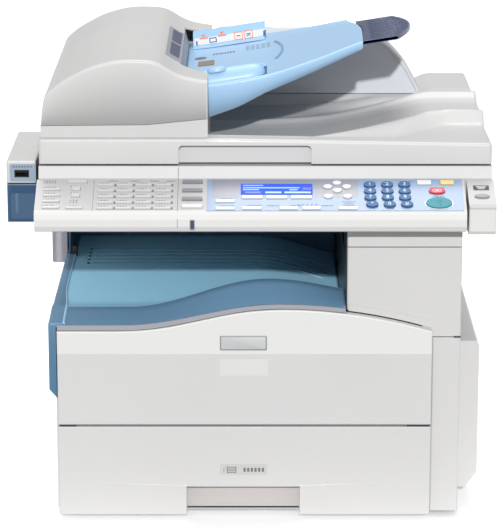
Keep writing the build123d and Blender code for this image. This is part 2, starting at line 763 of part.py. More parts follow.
fax_key_places = [
    (panel_left + 16.0, down, 16.6, 2.8) for down in (16.2, 25.4, 34.6, 44.4)
] + [(panel_left + 40.4, 3.8, 19.0, 4.6), (panel_left + 39.8, 15.2, 8.0, 5.4), (panel_left + 39.6, 25.4, 8.0, 5.4),
     (panel_left + 39.0, 44.8, 16.2, 2.8)]
one_touch_places = [
    (panel_left + centre, down, 15.4, 2.8)
    for centre in (69.1, 87.5, 106.4, 125.7) for down in (9.3, 18.5, 27.6, 36.7, 45.6)
]
oval_keys = number_key_places + start_key_place + stop_key_place + cursor_key_places
bar_keys = display_key_places + function_key_places + fax_key_places + one_touch_places


def key_shapes(places, oval, grow=0.0):
    """Draws one closed outline for each key, as an ellipse or a rectangle."""
    for across, down, key_width, key_height in places:
        with Locations((across, -down)):
            if oval:
                Ellipse(key_width / 2 + grow, key_height / 2 + grow)
            else:
                Rectangle(key_width + 2 * grow, key_height + 2 * grow)


def key_group(places, oval, height):
    """Key caps that stand height above the label and reach down into their wells."""
    with BuildSketch(key_plane.offset(-(key_well - key_travel - 1.0))) as caps:
        key_shapes(places, oval)
    extrude(caps.sketch, amount=key_well - key_travel - 1.0 + height)


panel_case_outline = [
    (label_back_y, label_back_z - 0.1), label_front, (front_y + 0.8, label_front[1] - 3.0), (front_y, label_front[1] - 8.0),
    (front_y, panel_bottom + 7.0), (front_y + 2.4, panel_bottom + 2.2), (front_y + 8.0, panel_bottom),
    (label_back_y, panel_bottom),
]
with BuildPart() as panel_case:
    slab_along_x(panel_case_outline, (panel_left, panel_right))
    block(
        (panel_left + wall, panel_right - wall), (front_y + 8.0, label_back_y + 1.0),
        (panel_bottom + wall, label_front[1] - 8.0), mode=Mode.SUBTRACT,
    )
    with BuildSketch(key_plane.offset(-key_well)) as wells:
        key_shapes(oval_keys, True, key_gap)
        key_shapes(bar_keys, False, key_gap)
    extrude(wells.sketch, amount=key_well + 2.0, mode=Mode.SUBTRACT)
save(panel_case, "panel_case")

label_x = (lcd_left - 33.5, panel_right - 2.5)
lcd_size = (70.8, 17.0)
lcd_at = (lcd_left + lcd_size[0] / 2, 16.4)
with BuildPart() as panel_label:
    with BuildSketch(key_plane.offset(0.05)) as label_face:
        with Locations(((label_x[0] + label_x[1]) / 2, -label_slope_length / 2)):
            Rectangle(label_x[1] - label_x[0], label_slope_length - 1.0)
    extrude(label_face.sketch, amount=label_sheet)
    with BuildSketch(key_plane.offset(-0.5)) as label_holes:
        key_shapes(number_key_places + start_key_place + stop_key_place + cursor_key_places, True, key_gap)
        key_shapes(display_key_places, False, key_gap)
        with Locations((lcd_at[0], -lcd_at[1])):
            Rectangle(lcd_size[0] + 0.4, lcd_size[1] + 0.4)
    extrude(label_holes.sketch, amount=2.0, mode=Mode.SUBTRACT)
save(panel_label, "panel_label")

with BuildPart() as lcd_display:
    with BuildSketch(key_plane.offset(0.05)) as lcd_face:
        with Locations((lcd_at[0], -lcd_at[1])):
            Rectangle(*lcd_size)
    extrude(lcd_face.sketch, amount=0.9)
save(lcd_display, "lcd_display")

for key_name, places, oval, height in (
    ("number_keys", number_key_places, True, 2.6), ("start_key", start_key_place, True, 2.2),
    ("stop_key", stop_key_place, True, 2.2), ("cursor_keys", cursor_key_places, True, 2.0),
    ("display_keys", display_key_places, False, 1.8),
    ("function_keys", function_key_places, False, 1.6), (
        "memory_keys", fax_key_places + one_touch_places, False, 1.4
    ),
):
    with BuildPart() as key_caps:
        key_group(places, oval, height)
    save(key_caps, key_name)

# ================================================================ power switch unit
switch_y = (front_y + 9.0, scanner_front - seam)
switch_front_z = 334.0
switch_bottom = 303.0
switch_angle = degrees(atan2(label_back_z - 0.5 - switch_front_z, switch_y[1] - switch_y[0]))
switch_plane = Plane(
    origin=((switch_left + right_x) / 2, switch_y[1], label_back_z - 0.5), x_dir=(1, 0, 0),
    z_dir=(0, -sin(radians(switch_angle)), cos(radians(switch_angle))),
)
power_key_at = (0.0, -29.0)
power_key_size = (14.5, 6.0)
with BuildPart() as switch_unit:
    slab_along_x(
        [
            (switch_y[1], label_back_z - 0.5), (switch_y[0], switch_front_z), (
                switch_y[0] - 1.5, switch_front_z - 3.0
            ),
            (switch_y[0] - 1.5, switch_bottom + 4.0), (switch_y[0] + 2.0, switch_bottom), (switch_y[1], switch_bottom),
        ],
        (switch_left, right_x),
    )
    fillet(switch_unit.edges().filter_by(Axis.Z).sort_by(Axis.Y)[:2], 2)
    block(
        (switch_left + wall, right_x - wall), (switch_y[0] + wall + 1.0, switch_y[1] + 1.0),
        (switch_bottom + wall, switch_front_z - 8.0), mode=Mode.SUBTRACT,
    )
    with BuildSketch(switch_plane.offset(-key_well)) as power_well:
        with Locations(power_key_at):
            Ellipse(power_key_size[0] / 2 + key_gap, power_key_size[1] / 2 + key_gap)
    extrude(power_well.sketch, amount=key_well + 2.0, mode=Mode.SUBTRACT)
save(switch_unit, "power_switch_unit")

with BuildPart() as power_key:
    with BuildSketch(switch_plane.offset(-3.0)) as power_cap:
        with Locations(power_key_at):
            Ellipse(power_key_size[0] / 2, power_key_size[1] / 2)
    extrude(power_cap.sketch, amount=4.6)
save(power_key, "power_key")

# ================================================================ card and socket unit on the left
card_x = (left_x, panel_left - 2.0)
card_y = (lid_front + 6.0, -23.0)
card_top = 366.0
card_shelf = 344.0
card_bottom = 303.0
card_cover_depth = 15.0
usb_at = (card_x[0] + 15.4, 353.2)
usb_size = (14.3, 7.4)
usb_depth = 16.0
with BuildPart() as card_unit:
    block(card_x, card_y, (card_shelf, card_top))
    fillet(card_unit.edges().filter_by(Axis.Y).group_by(Axis.Z)[-1], 2)
    fillet(card_unit.edges().filter_by(Axis.X).group_by(Axis.Z)[-1], 2)
    block(
        (card_x[0] + wall, card_x[1]), (
            card_y[0] + card_cover_depth + 1.0, card_y[1] - wall
        ), (card_bottom, card_shelf + 1.0),
    )
    block(
        (usb_at[0] - usb_size[0] / 2 - 0.2, usb_at[0] + usb_size[0] / 2 + 0.2), (
            card_y[0] - 1.0, card_y[0] + usb_depth + 0.2
        ),
        (usb_at[1] - usb_size[1] / 2 - 0.2, usb_at[1] + usb_size[1] / 2 + 0.2), mode=Mode.SUBTRACT,
    )
    block(
        (card_x[0] + 12.0, card_x[0] + 14.4), (
            card_y[0] + card_cover_depth, card_y[0] + card_cover_depth + 24.0
        ),
        (card_bottom + 8.0, card_bottom + 33.0), mode=Mode.SUBTRACT,
    )
save(card_unit, "card_unit")

with BuildPart() as usb_socket:
    usb_x = (usb_at[0] - usb_size[0] / 2, usb_at[0] + usb_size[0] / 2)
    usb_z = (usb_at[1] - usb_size[1] / 2, usb_at[1] + usb_size[1] / 2)
    block(usb_x, (card_y[0] + 0.5, card_y[0] + usb_depth), usb_z)
    block((usb_x[0] + 0.8, usb_x[1] - 0.8), (card_y[0] - 1.0, card_y[0] + usb_depth - 1.0), (usb_z[0] + 0.8, usb_z[1] - 0.8),
          mode=Mode.SUBTRACT)
    block(
        (usb_x[0] + 1.6, usb_x[1] - 1.6), (card_y[0] + 3.0, card_y[0] + usb_depth - 0.5),
        (usb_z[1] - 2.2, usb_z[1] - 0.8)
    )
save(usb_socket, "usb_socket")

with BuildPart() as card_cover:
    cover_x = (card_x[0] + 0.5, card_x[1])
    cover_yy = (card_y[0], card_y[0] + card_cover_depth)
    block(cover_x, cover_yy, (card_bottom, card_shelf - seam))
    fillet(card_cover.edges().filter_by(Axis.X).group_by(Axis.Y)[0], 2.5)
    block((cover_x[0] + 1.8, cover_x[1] - 1.8), (cover_yy[0] + 1.8, cover_yy[1] + 1.0), (card_bottom + 1.8, card_shelf - seam - 1.8),
          mode=Mode.SUBTRACT)
save(card_cover, "card_cover")

line_box_width = 16.5
line_box_bottom = 191.5
with BuildPart() as line_box:
    line_x = (skirt_left - 1.0 - line_box_width, skirt_left - 1.0)
    block(line_x, (rear_y - 125.0, rear_y - 35.0), (line_box_bottom, scanner_bottom - seam))
    fillet(line_box.edges().filter_by(Axis.Y), 2)
save(line_box, "line_box")

# ================================================================ lid over the glass
feeder_left = scanner_left + 2.0
feeder_length = 166.0
feeder_right = feeder_left + feeder_length
feeder_y = (lid_front + 4.0, lid_rear - 28.0)
handle_x = (feeder_right - 29.0, feeder_right + 103.0)
handle_top = 383.0
ramp_start = feeder_right + 102.0
ramp_end = scanner_right - 55.0
valley_left = 371.0
valley_right = 389.0
ridge_left = 375.0
ridge_right = 398.0
ridge_ys = (lid_front + 109.0, lid_front + 206.0)
ridge_width = 62.0
shelf_y = lid_rear - 95.0
shelf_z = 382.7
knuckle_half = 8.5
pivot_y = scanner_rear - 6.0
pivot_z = scanner_top + 7.0
knuckle_xs = (scanner_left + 90.0, scanner_right - 90.0)
with BuildPart() as platen_cover:
    slab_along_y(
        [
            (scanner_left, lid_bottom), (scanner_left, lid_top_left), (feeder_right, lid_top_left),
            (scanner_right, lid_top_right), (scanner_right, lid_bottom),
        ],
        (lid_front, lid_rear),
    )
    fillet(platen_cover.edges().filter_by(Axis.Z), 3)
    slab_along_y(
        [
            (feeder_right, lid_top_left + 2.0), (feeder_right, valley_left), (ramp_start, valley_left),
            (ramp_end, lid_top_right + 2.0),
        ],
        (lid_front + 18.0, shelf_y), mode=Mode.SUBTRACT,
    )
    slab_along_y(
        [
            (ramp_end - 60.0, lid_top_right - 14.0), (ramp_end, valley_right), (scanner_right, valley_right),
            (scanner_right, lid_top_right - 14.0),
        ],
        (lid_front + 22.0, shelf_y),
    )
    block(
        (feeder_right, scanner_right + 1.0), (shelf_y, lid_rear + 1.0), (shelf_z, lid_top_left + 1.0),
        mode=Mode.SUBTRACT
    )
    for ridge_y in ridge_ys:
        with BuildSketch(Plane.YZ.offset(ramp_end)) as ridge_end:
            with BuildLine():
                arch = ThreePointArc(
                    (ridge_y - ridge_width / 2, valley_right), (ridge_y, ridge_right), (
                        ridge_y + ridge_width / 2, valley_right
                    ),
                )
                Line(arch @ 0, arch @ 1)
            make_face()
        extrude(ridge_end.sketch, amount=scanner_right - ramp_end)
    block(
        handle_x, (lid_front - 1.0, lid_front + 7.0), (lid_bottom - 1.0, handle_top), mode=Mode.SUBTRACT,
    )
    block(
        (scanner_left + 30.0, scanner_right - 40.0), (lid_front + 40.0, lid_rear - 60.0), (
            lid_bottom - 1.0, lid_bottom + 3.5
        ),
        mode=Mode.SUBTRACT,
    )
    for knuckle_x in knuckle_xs:
        rod_along_x(pivot_y, pivot_z, 5.0, (knuckle_x - knuckle_half, knuckle_x + knuckle_half))
        block(
            (knuckle_x - knuckle_half, knuckle_x + knuckle_half), (lid_rear - 1.0, pivot_y),
            (pivot_z - 3.0, pivot_z + 3.0)
        )
        rod_along_x(pivot_y, pivot_z, 3.0 + running, (knuckle_x - knuckle_half - 1.0, knuckle_x + knuckle_half + 1.0),
                    mode=Mode.SUBTRACT)
save(platen_cover, "platen_cover")

with BuildPart() as cover_hinges:
    for knuckle_x in knuckle_xs:
        ear_inner = knuckle_half + sliding
        rod_along_x(pivot_y, pivot_z, 3.0, (knuckle_x - ear_inner - 5.0, knuckle_x + ear_inner + 5.0))
        for side in (-1, 1):
            near = knuckle_x + side * ear_inner
            far = knuckle_x + side * (ear_inner + 5.0)
            block(
                (min(near, far), max(near, far)), (pivot_y - 5.0, pivot_y + 5.0),
                (scanner_top + 0.05, pivot_z + 4.0)
            )
save(cover_hinges, "cover_hinges")

with BuildPart() as platen_sheet:
    block(
        (scanner_left + 32.0, scanner_right - 42.0), (lid_front + 42.0, lid_rear - 62.0), (
            scanner_top + 0.6, lid_bottom + 3.4
        ),
    )
save(platen_sheet, "platen_sheet")

# ================================================================ document feeder
housing_base = lid_top_left + 0.3
housing_seam_left = 402.0
housing_seam_right = 409.0
cover_wall = 3.0
mouth_half = 127.0
mouth_left = feeder_right - 28.0
arch_points = [
    (feeder_left + 5.0, 432.4), (feeder_left + 34.5, 453.7), (feeder_left + 61.2, 464.5), (feeder_left + 88.0, 468.5),
    (feeder_left + 118.0, 466.5), (feeder_left + 141.0, 452.7), (feeder_right, 447.6),
]
arch_core = (feeder_left + 88.0, 415.0)
with BuildPart() as feeder_housing:
    slab_along_y(
        [
            (feeder_left, housing_base), (feeder_left, housing_seam_left), (
                feeder_right - 60.0, housing_seam_left + 1.0
            ),
            (feeder_right, housing_seam_right), (feeder_right, housing_base),
        ],
        feeder_y,
    )
    block(
        (feeder_left + cover_wall, feeder_right - cover_wall), (
            feeder_y[0] + cover_wall, feeder_y[1] - cover_wall
        ),
        (housing_base + cover_wall, housing_seam_right + 1.0), mode=Mode.SUBTRACT,
    )
save(feeder_housing, "feeder_housing")

with BuildPart() as feeder_top_cover:
    with BuildSketch(Plane.XZ.offset(-feeder_y[0])) as arch_face:
        with BuildLine():
            arch = Spline(*arch_points)
            Polyline(
                arch @ 1, (feeder_right, housing_seam_right + seam), (
                    feeder_right - 60.0, housing_seam_left + 1.0 + seam
                ),
                (feeder_left, housing_seam_left + seam), arch @ 0,
            )
        make_face()
    extrude(arch_face.sketch, amount=feeder_y[0] - feeder_y[1])
    with BuildSketch(Plane.XZ.offset(-(feeder_y[0] + cover_wall))) as arch_hollow:
        with BuildLine():
            inner = Spline(*[toward(point, arch_core, cover_wall) for point in arch_points])
            Polyline(
                inner @ 1, (feeder_right - cover_wall, housing_seam_left), (
                    feeder_left + cover_wall, housing_seam_left
                ),
                inner @ 0,
            )
        make_face()
    extrude(arch_hollow.sketch, amount=feeder_y[0] - feeder_y[1] + 2 * cover_wall, mode=Mode.SUBTRACT)
    block(
        (mouth_left, feeder_right + 1.0), (-mouth_half, mouth_half), (housing_seam_left - 1.0, 470.0),
        mode=Mode.SUBTRACT
    )
save(feeder_top_cover, "feeder_top_cover")

feeder_roller_at = (feeder_left + 100.0, 441.0)
with BuildPart() as feeder_roller:
    rod_along_y(*feeder_roller_at, 3.0, (-60.0, 60.0))
    for tyre_y in (-22.0, 22.0):
        rod_along_y(*feeder_roller_at, 12.0, (tyre_y - 12.0, tyre_y + 12.0))
save(feeder_roller, "feeder_roller")

# ---------------------------------------------------------------- feed tray
tray_half_wide = 124.5
tray_half_narrow = 73.0
tray_gap = 1.0
tray_start = feeder_right - 26.0
tray_end = feeder_right + 158.5
tray_floor = [
    (tray_start, 431.5), (feeder_right, 434.5), (feeder_right + 58.0, 443.5), (feeder_right + 104.0, 454.5),
    (feeder_right + 149.0, 467.5), (tray_end, 470.0),
]
skirt_line = [
    (tray_end, 461.0), (feeder_right + 129.7, 448.8), (feeder_right + 95.5, 436.0), (feeder_right + 61.6, 424.9),
    (feeder_right + 28.0, 409.5), (feeder_right + tray_gap, 402.0),
]
floor_sheet = 3.0


def tray_surface(x):
    """Height of the feed tray's floor, straight between its stations."""
    for (x0, z0), (x1, z1) in zip(tray_floor, tray_floor[1:]):
        if x <= x1:
            return z0 + (z1 - z0) * (x - x0) / (x1 - x0)
    return tray_floor[-1][1]


def tray_plan(z):
    """The tray seen from above: wide at the feeder, narrowing in two curves to the extension."""
    with BuildSketch(Plane.XY.offset(z)) as plan:
        with BuildLine():
            near = Spline(
                (feeder_right + 28.0, -tray_half_wide), (feeder_right + 95.5, -105.0),
                (tray_end - 14.0, -tray_half_narrow), tangents=((1, 0), (1, 0.35)),
            )
            far = Spline(
                (feeder_right + 28.0, tray_half_wide), (feeder_right + 95.5, 105.0),
                (tray_end - 14.0, tray_half_narrow), tangents=((1, 0), (1, -0.35)),
            )
            ThreePointArc(near @ 1, (tray_end, 0), far @ 1)
            Polyline(
                near @ 0, (tray_start - 1.0, -tray_half_wide), (tray_start - 1.0, tray_half_wide), far @ 0,
            )
        make_face()
    return plan.sketch


# The extension's tongue slides in a slot through the tray's end, parallel to the floor above it.
tongue_slope = (tray_floor[4][1] - tray_floor[3][1]) / (tray_floor[4][0] - tray_floor[3][0])
tongue_half = 50.0
tongue_sheet = 2.0
tongue_gap = 0.5
extension_start = tray_end - 6.0
tongue_x = (tray_floor[3][0] + 6.0, extension_start + 13.0)


def tongue_layer(x, upper, lower):
    """A closed outline parallel to the tray's end slope, between two distances below its underside."""
    outline = []
    for place, drop in ((x[0], upper), (x[1], upper), (x[1], lower), (x[0], lower)):
        rise = tongue_slope * (place - tray_floor[3][0])
        outline.append((place, tray_floor[3][1] - floor_sheet + rise - drop))
    return outline


hump_front = lid_front + 268.0
with BuildPart() as feed_tray:
    slab_along_y(
        tray_floor + skirt_line + [(feeder_right + tray_gap, 430.0), (tray_start, 427.5)],
        (-tray_half_wide, tray_half_wide),
    )
    slab_along_y(
        [(x, z - floor_sheet) for x, z in tray_floor[1:-1]] + [
            (tray_end - 12.0, 440.0), (feeder_right + 3.5, 390.0)
        ],
        (-tray_half_wide + floor_sheet, tray_half_wide - floor_sheet), mode=Mode.SUBTRACT,
    )
    extrude(tray_plan(housing_base), amount=90.0, mode=Mode.INTERSECT)
    slab_along_y(
        [(x, z - floor_sheet - 2.0) for x, z in tray_floor[1:]] + [
            (tray_end, 390.0), (feeder_right + tray_gap - 0.5, 390.0)
        ],
        (hump_front - 4.0, tray_half_wide + 1.0), mode=Mode.SUBTRACT,
    )
    slab_along_y(
        tongue_layer((tray_floor[4][0] - 2.0, tray_end + 1.0), 0.0, tongue_sheet + 2 * tongue_gap),
        (-tongue_half - tongue_gap, tongue_half + tongue_gap), mode=Mode.SUBTRACT,
    )
save(feed_tray, "feed_tray")

extension_angle = 9.0
extension_half = 62.0
extension_length = 57.0
extension_sheet = 3.0
extension_base = 467.6
extension_plane = Plane(
    origin=(extension_start, 0, extension_base), x_dir=(
        cos(radians(extension_angle)), 0, sin(radians(extension_angle))
    ),
    z_dir=(-sin(radians(extension_angle)), 0, cos(radians(extension_angle))),
)
with BuildPart() as feed_tray_extension:
    with BuildSketch(extension_plane) as extension_face:
        with BuildLine():
            root_arc = ThreePointArc((2.0, -extension_half), (8.0, 0), (2.0, extension_half))
            end_arc = ThreePointArc(
                (extension_length - 16.0, -extension_half), (extension_length, 0), (
                    extension_length - 16.0, extension_half
                ),
            )
            Line(root_arc @ 0, end_arc @ 0)
            Line(root_arc @ 1, end_arc @ 1)
        make_face()
    extrude(extension_face.sketch, amount=-extension_sheet)
    slab_along_y(tongue_layer(tongue_x, tongue_gap, tongue_gap + tongue_sheet), (-tongue_half, tongue_half))
save(feed_tray_extension, "feed_tray_extension")

guide_x = (feeder_right - 20.0, feeder_right + 58.0)
guide_half_gap = 104.0
guide_sheet = 3.0
guide_lift = 0.4
for guide_name, side, guide_height in (("front_guide", -1, 12.0), ("rear_guide", 1, 17.0)):
    with BuildPart() as guide:
        inner_y = side * guide_half_gap
        outer_y = side * (guide_half_gap + guide_sheet)
        low = [(x, tray_surface(x) + guide_lift) for x in (guide_x[0], feeder_right, guide_x[1])]
        high = [(x, z + guide_height) for x, z in reversed(low)]
        slab_along_y(low + high, (min(inner_y, outer_y), max(inner_y, outer_y)))
        foot = [(x, z + 1.5) for x, z in reversed(low)]
        foot_y = side * (guide_half_gap - 16.0)
        slab_along_y(low + foot, (min(inner_y, foot_y), max(inner_y, foot_y)))
    save(guide, guide_name)

# ---------------------------------------------------------------- drive housing behind the feed tray
hump_back = lid_rear - 6.0
hump_split = tray_half_wide + 2.5
hump_right = scanner_right - 56.0
hump_base = shelf_z + 0.3
hump_top = 452.0
hump_low = [
    (feeder_right + tray_gap, hump_base), (feeder_right + tray_gap, 425.0), (feeder_right + 58.0, 433.0),
    (feeder_right + 104.0, 444.0), (hump_right - 75.0, 448.0),
]
hump_high = [
    (feeder_right + tray_gap, hump_base), (feeder_right + tray_gap, hump_top - 4.0), (feeder_right + 10.0, hump_top),
    (hump_right - 75.0, hump_top - 2.0),
]
with BuildPart() as drive_housing:
    for outline, y in ((hump_low, (hump_front, hump_split)), (hump_high, (hump_split, hump_back))):
        with BuildSketch(Plane.XZ.offset(-y[0])) as hump_face:
            with BuildLine():
                Polyline(*outline)
                shoulder = ThreePointArc(outline[-1], (hump_right - 26.0, 426.0), (hump_right, hump_base))
                Line(shoulder @ 1, outline[0])
            make_face()
        extrude(hump_face.sketch, amount=y[0] - y[1])
    block(
        (feeder_right + tray_gap + 4.0, hump_right - 45.0), (hump_front + 4.0, hump_back - 4.0), (hump_base + 4.0, 412.0),
        mode=Mode.SUBTRACT,
    )
save(drive_housing, "feeder_drive_housing")
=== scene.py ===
"""Looks of a desktop copier: covers, trays, key panel and lid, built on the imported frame."""

import logging
import math
from dataclasses import dataclass
from enum import Enum

import bmesh
import bpy
import numpy as np
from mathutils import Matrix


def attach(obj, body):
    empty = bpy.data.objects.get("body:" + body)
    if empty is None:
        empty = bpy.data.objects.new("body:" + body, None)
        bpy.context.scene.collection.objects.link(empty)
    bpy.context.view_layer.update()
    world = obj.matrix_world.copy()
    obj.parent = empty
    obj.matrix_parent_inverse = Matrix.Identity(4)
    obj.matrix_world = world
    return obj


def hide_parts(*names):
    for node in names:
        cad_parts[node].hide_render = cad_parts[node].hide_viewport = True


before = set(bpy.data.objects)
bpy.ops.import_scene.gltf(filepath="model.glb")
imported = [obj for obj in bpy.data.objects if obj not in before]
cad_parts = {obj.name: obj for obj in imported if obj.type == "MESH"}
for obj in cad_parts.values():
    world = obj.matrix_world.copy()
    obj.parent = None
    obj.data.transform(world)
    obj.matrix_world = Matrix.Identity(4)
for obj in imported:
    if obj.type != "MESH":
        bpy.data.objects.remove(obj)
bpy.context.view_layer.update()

log = logging.getLogger("copier")
MM = 0.001
TYPE_HALF_THICK = 0.03
BEVEL_ANGLE = math.radians(40)
WELD, SLIVER = 2e-6, 1e-6
Colour = tuple[float, float, float]
Outline = np.ndarray
Inputs = dict[int | str, object]


# ---------------------------------------------------------------- curves and outlines
def monotone_cubic(knots: np.ndarray, values: np.ndarray, places: np.ndarray) -> np.ndarray:
    """Reads a smooth curve that never overshoots its knots.

    Hermite cubics join the knots. A knot's slope is the harmonic mean of the slopes either side of it,
    and nought at a crest or a hollow.

    Args:
        knots: Rising places of the knots, shape (k,).
        values: Values at the knots, shape (k,).
        places: Where to read the curve, any shape.

    Returns:
        The curve's values, shaped as places.
    """
    step = np.diff(knots)
    rise = np.diff(values) / step
    slope = np.zeros_like(values, dtype=float)
    product = rise[:-1] * rise[1:]
    total = rise[:-1] + rise[1:]
    slope[1:-1] = np.where(product > 0, 2 * product / np.where(total == 0, 1, total), 0.0)
    slope[0], slope[-1] = rise[0], rise[-1]
    spot = np.clip(np.searchsorted(knots, places, side="right") - 1, 0, len(step) - 1)
    t = np.clip((places - knots[spot]) / step[spot], 0.0, 1.0)
    low, high = values[spot], values[spot + 1]
    return (
        low * (2 * t**3 - 3 * t**2 + 1) + high * (3 * t**2 - 2 * t**3)
        + step[spot] * (slope[spot] * (t**3 - 2 * t**2 + t) + slope[spot + 1] * (t**3 - t**2))
    )


def through(points: list[tuple[float, float]], places: np.ndarray) -> np.ndarray:
    """Smooth curve through listed (place, value) points, read at places."""
    table = np.array(points, float)
    return monotone_cubic(table[:, 0], table[:, 1], places)


def ease(x: np.ndarray | float, start: float, end: float) -> np.ndarray:
    """Cosine rise from 0 at start to 1 at end."""
    share = np.clip((np.asarray(x, float) - start) / (end - start), 0.0, 1.0)
    return (1 - np.cos(np.pi * share)) / 2


def rounded_box_outline(width: float, height: float, radius: float, arc: int = 5) -> Outline:
    """Rectangle with round corners, centred on nought: each corner is a quarter circle of the radius.

    Args:
        width: Size along the first axis, mm.
        height: Size along the second axis, mm.
        radius: Corner radius, mm.
        arc: Points on each corner.

    Returns:
        Points of the closed outline, shape (4 * arc, 2), anticlockwise.
    """
    turn = np.linspace(0, np.pi / 2, arc)
    corners = [(1, 1, 0.0), (-1, 1, np.pi / 2), (-1, -1, np.pi), (1, -1, 1.5 * np.pi)]
    parts = [
        np.column_stack([
            sx * (width / 2 - radius) + radius * np.cos(turn + start),
            sy * (height / 2 - radius) + radius * np.sin(turn + start),
        ])
        for sx, sy, start in corners
    ]
    return np.concatenate(parts)


def oval_outline(width: float, height: float, count: int = 40) -> Outline:
    """Ellipse with the width and height given, mm."""
    turn = np.linspace(0, 2 * np.pi, count, endpoint=False)
    return np.column_stack([np.cos(turn) * width / 2, np.sin(turn) * height / 2])


@dataclass(frozen=True)
class Face:
    """A working plane: an origin and two unit directions, whose cross product points out of the surface."""

    origin: tuple[float, float, float]
    across: tuple[float, float, float]
    up: tuple[float, float, float]

    def place(self, local: np.ndarray) -> np.ndarray:
        """Carries (across, up, out) coordinates in mm to (x, y, z) in mm."""
        a, b = np.array(self.across), np.array(self.up)
        return np.array(self.origin) + local @ np.array([a, b, np.cross(a, b)])


def front_face(y: float) -> Face:
    """The upright plane at depth y that looks towards the front."""
    return Face((0.0, y, 0.0), (1.0, 0.0, 0.0), (0.0, 0.0, 1.0))


# ---------------------------------------------------------------- meshes
class Shape:
    """Gathers grids and flat plates in mm, and turns them into one object in metres."""

    def __init__(self) -> None:
        """Starts empty."""
        self.points: list[np.ndarray] = []
        self.faces: list[tuple[int, ...]] = []
        self.count = 0

    def _take(self, points: np.ndarray) -> int:
        """Stores points and returns the number of the first."""
        first = self.count
        self.points.append(points.reshape(-1, 3))
        self.count += len(self.points[-1])
        return first

    def grid(self, points: np.ndarray, ring: bool = False, caps: bool = False) -> "Shape":
        """Adds a surface of four-sided faces over an (m, n) grid of points.

        Args:
            points: Shape (m, n, 3), mm.
            ring: Joins the last column to the first.
            caps: Closes the first and last rows with one face each.

        Returns:
            This shape.
        """
        rows, cols = points.shape[:2]
        first = self._take(points)
        number = first + np.arange(rows * cols).reshape(rows, cols)
        right = np.roll(number, -1, axis=1)
        span = cols if ring else cols - 1
        quads = np.stack([number[:-1], right[:-1], right[1:], number[1:]], axis=-1)[:, :span].reshape(-1, 4)
        self.faces.extend(map(tuple, quads.tolist()))
        if caps:
            self.faces.append(tuple(number[0][::-1].tolist()))
            self.faces.append(tuple(number[-1].tolist()))
        return self

    def plate(self, outline: Outline, face: Face, low: float, high: float,
              at: tuple[float, float] = (0.0, 0.0), crown: float = 0.0) -> "Shape":
        """Adds a closed plate: an outline carried from low to high above a working plane.

        Args:
            outline: Closed outline, mm, shape (n, 2).
            face: The plane that it stands on.
            low: Height of its underside above the plane, mm.
            high: Height of its top above the plane, mm.
            at: Where its centre goes on the plane, mm.
            crown: Width of the rounded rim of its top, mm.

        Returns:
            This shape.
        """
        flat = np.asarray(outline, float)
        centre = flat.mean(axis=0)
        levels = [(1.0, low), (1.0, high)]
        if crown:
            reach = np.abs(flat - centre).max()
            levels = [(1.0, low)] + [
                (1.0 - crown * (1 - math.cos(turn)) / reach, high - crown * (1 - math.sin(turn)))
                for turn in np.linspace(0, math.pi / 2, 4)
            ]
        rows = [
            np.column_stack([centre + (flat - centre) * share + np.array(at), np.full(len(flat), level)])
            for share, level in levels
        ]
        return self.grid(face.place(np.array(rows)), ring=True, caps=True)

    def bar(self, size: tuple[float, float, float], face: Face, low: float, high: float,
            at: tuple[float, float] = (0.0, 0.0), crown: float = 0.0) -> "Shape":
        """Adds a plate whose size is its width, height and corner radius, mm; the rest is as for plate."""
        return self.plate(rounded_box_outline(*size), face, low, high, at, crown)

    def hoop(self, inner: Outline, outer: Outline, face: Face, low: float, high: float,
             at: tuple[float, float] = (0.0, 0.0)) -> "Shape":
        """Adds a closed flat ring between two outlines.

        Args:
            inner: Outline of its hole, mm.
            outer: Its own outline, mm, with as many points.
            face: The plane that it stands on.
            low: Height of its underside above the plane, mm.
            high: Height of its top above the plane, mm.
            at: Shift of both outlines on the plane, mm.

        Returns:
            This shape.
        """
        levels = ((inner, low), (outer, low), (outer, high), (inner, high), (inner, low))
        rows = [np.column_stack([part + at, np.full(len(part), level)]) for part, level in levels]
        return self.grid(face.place(np.array(rows)), ring=True)

    def beam(self, lines: object) -> "Shape":
        """Adds a closed bar from the long edges of its section, listed in order round it, mm."""
        return self.grid(np.array(lines).transpose(1, 0, 2), ring=True, caps=True)

    def box(self, x: tuple[float, float], y: tuple[float, float], z: tuple[float, float],
            radius: float = 0.6) -> "Shape":
        """Adds an upright block with round corners in plan and a rounded top rim."""
        width, depth, height = x[1] - x[0], y[1] - y[0], z[1] - z[0]
        size = (width, depth, min(radius, width / 2.1, depth / 2.1))
        ground = Face((0, 0, 0), (1, 0, 0), (0, 1, 0))
        return self.bar(size, ground, *z, (sum(x) / 2, sum(y) / 2), min(radius, height / 2) * 0.5)

    def lettering(self, text: str, size: float, face: Face, height: float,
                  at: tuple[float, float] = (0.0, 0.0)) -> "Shape":
        """Adds generic figures as thin solid type.

        Args:
            text: The figures.
            size: Height of the type, mm.
            face: The plane that they stand on.
            height: Height of their underside above the plane, mm.
            at: Their centre on the plane, mm.

        Returns:
            This shape.
        """
        curve = bpy.data.curves.new("type", "FONT")
        curve.body, curve.size, curve.extrude = text, size, TYPE_HALF_THICK
        curve.align_x, curve.align_y, curve.resolution_u = "CENTER", "CENTER", 3
        carrier = bpy.data.objects.new("type", curve)
        bpy.context.scene.collection.objects.link(carrier)
        bpy.context.view_layer.update()
        mesh = bpy.data.meshes.new_from_object(carrier)
        local = np.array([v.co for v in mesh.vertices]).reshape(-1, 3) + (*at, height + TYPE_HALF_THICK)
        first = self._take(face.place(local))
        self.faces.extend(tuple(first + i for i in p.vertices) for p in mesh.polygons)
        bpy.data.objects.remove(carrier)
        bpy.data.meshes.remove(mesh)
        bpy.data.curves.remove(curve)
        return self

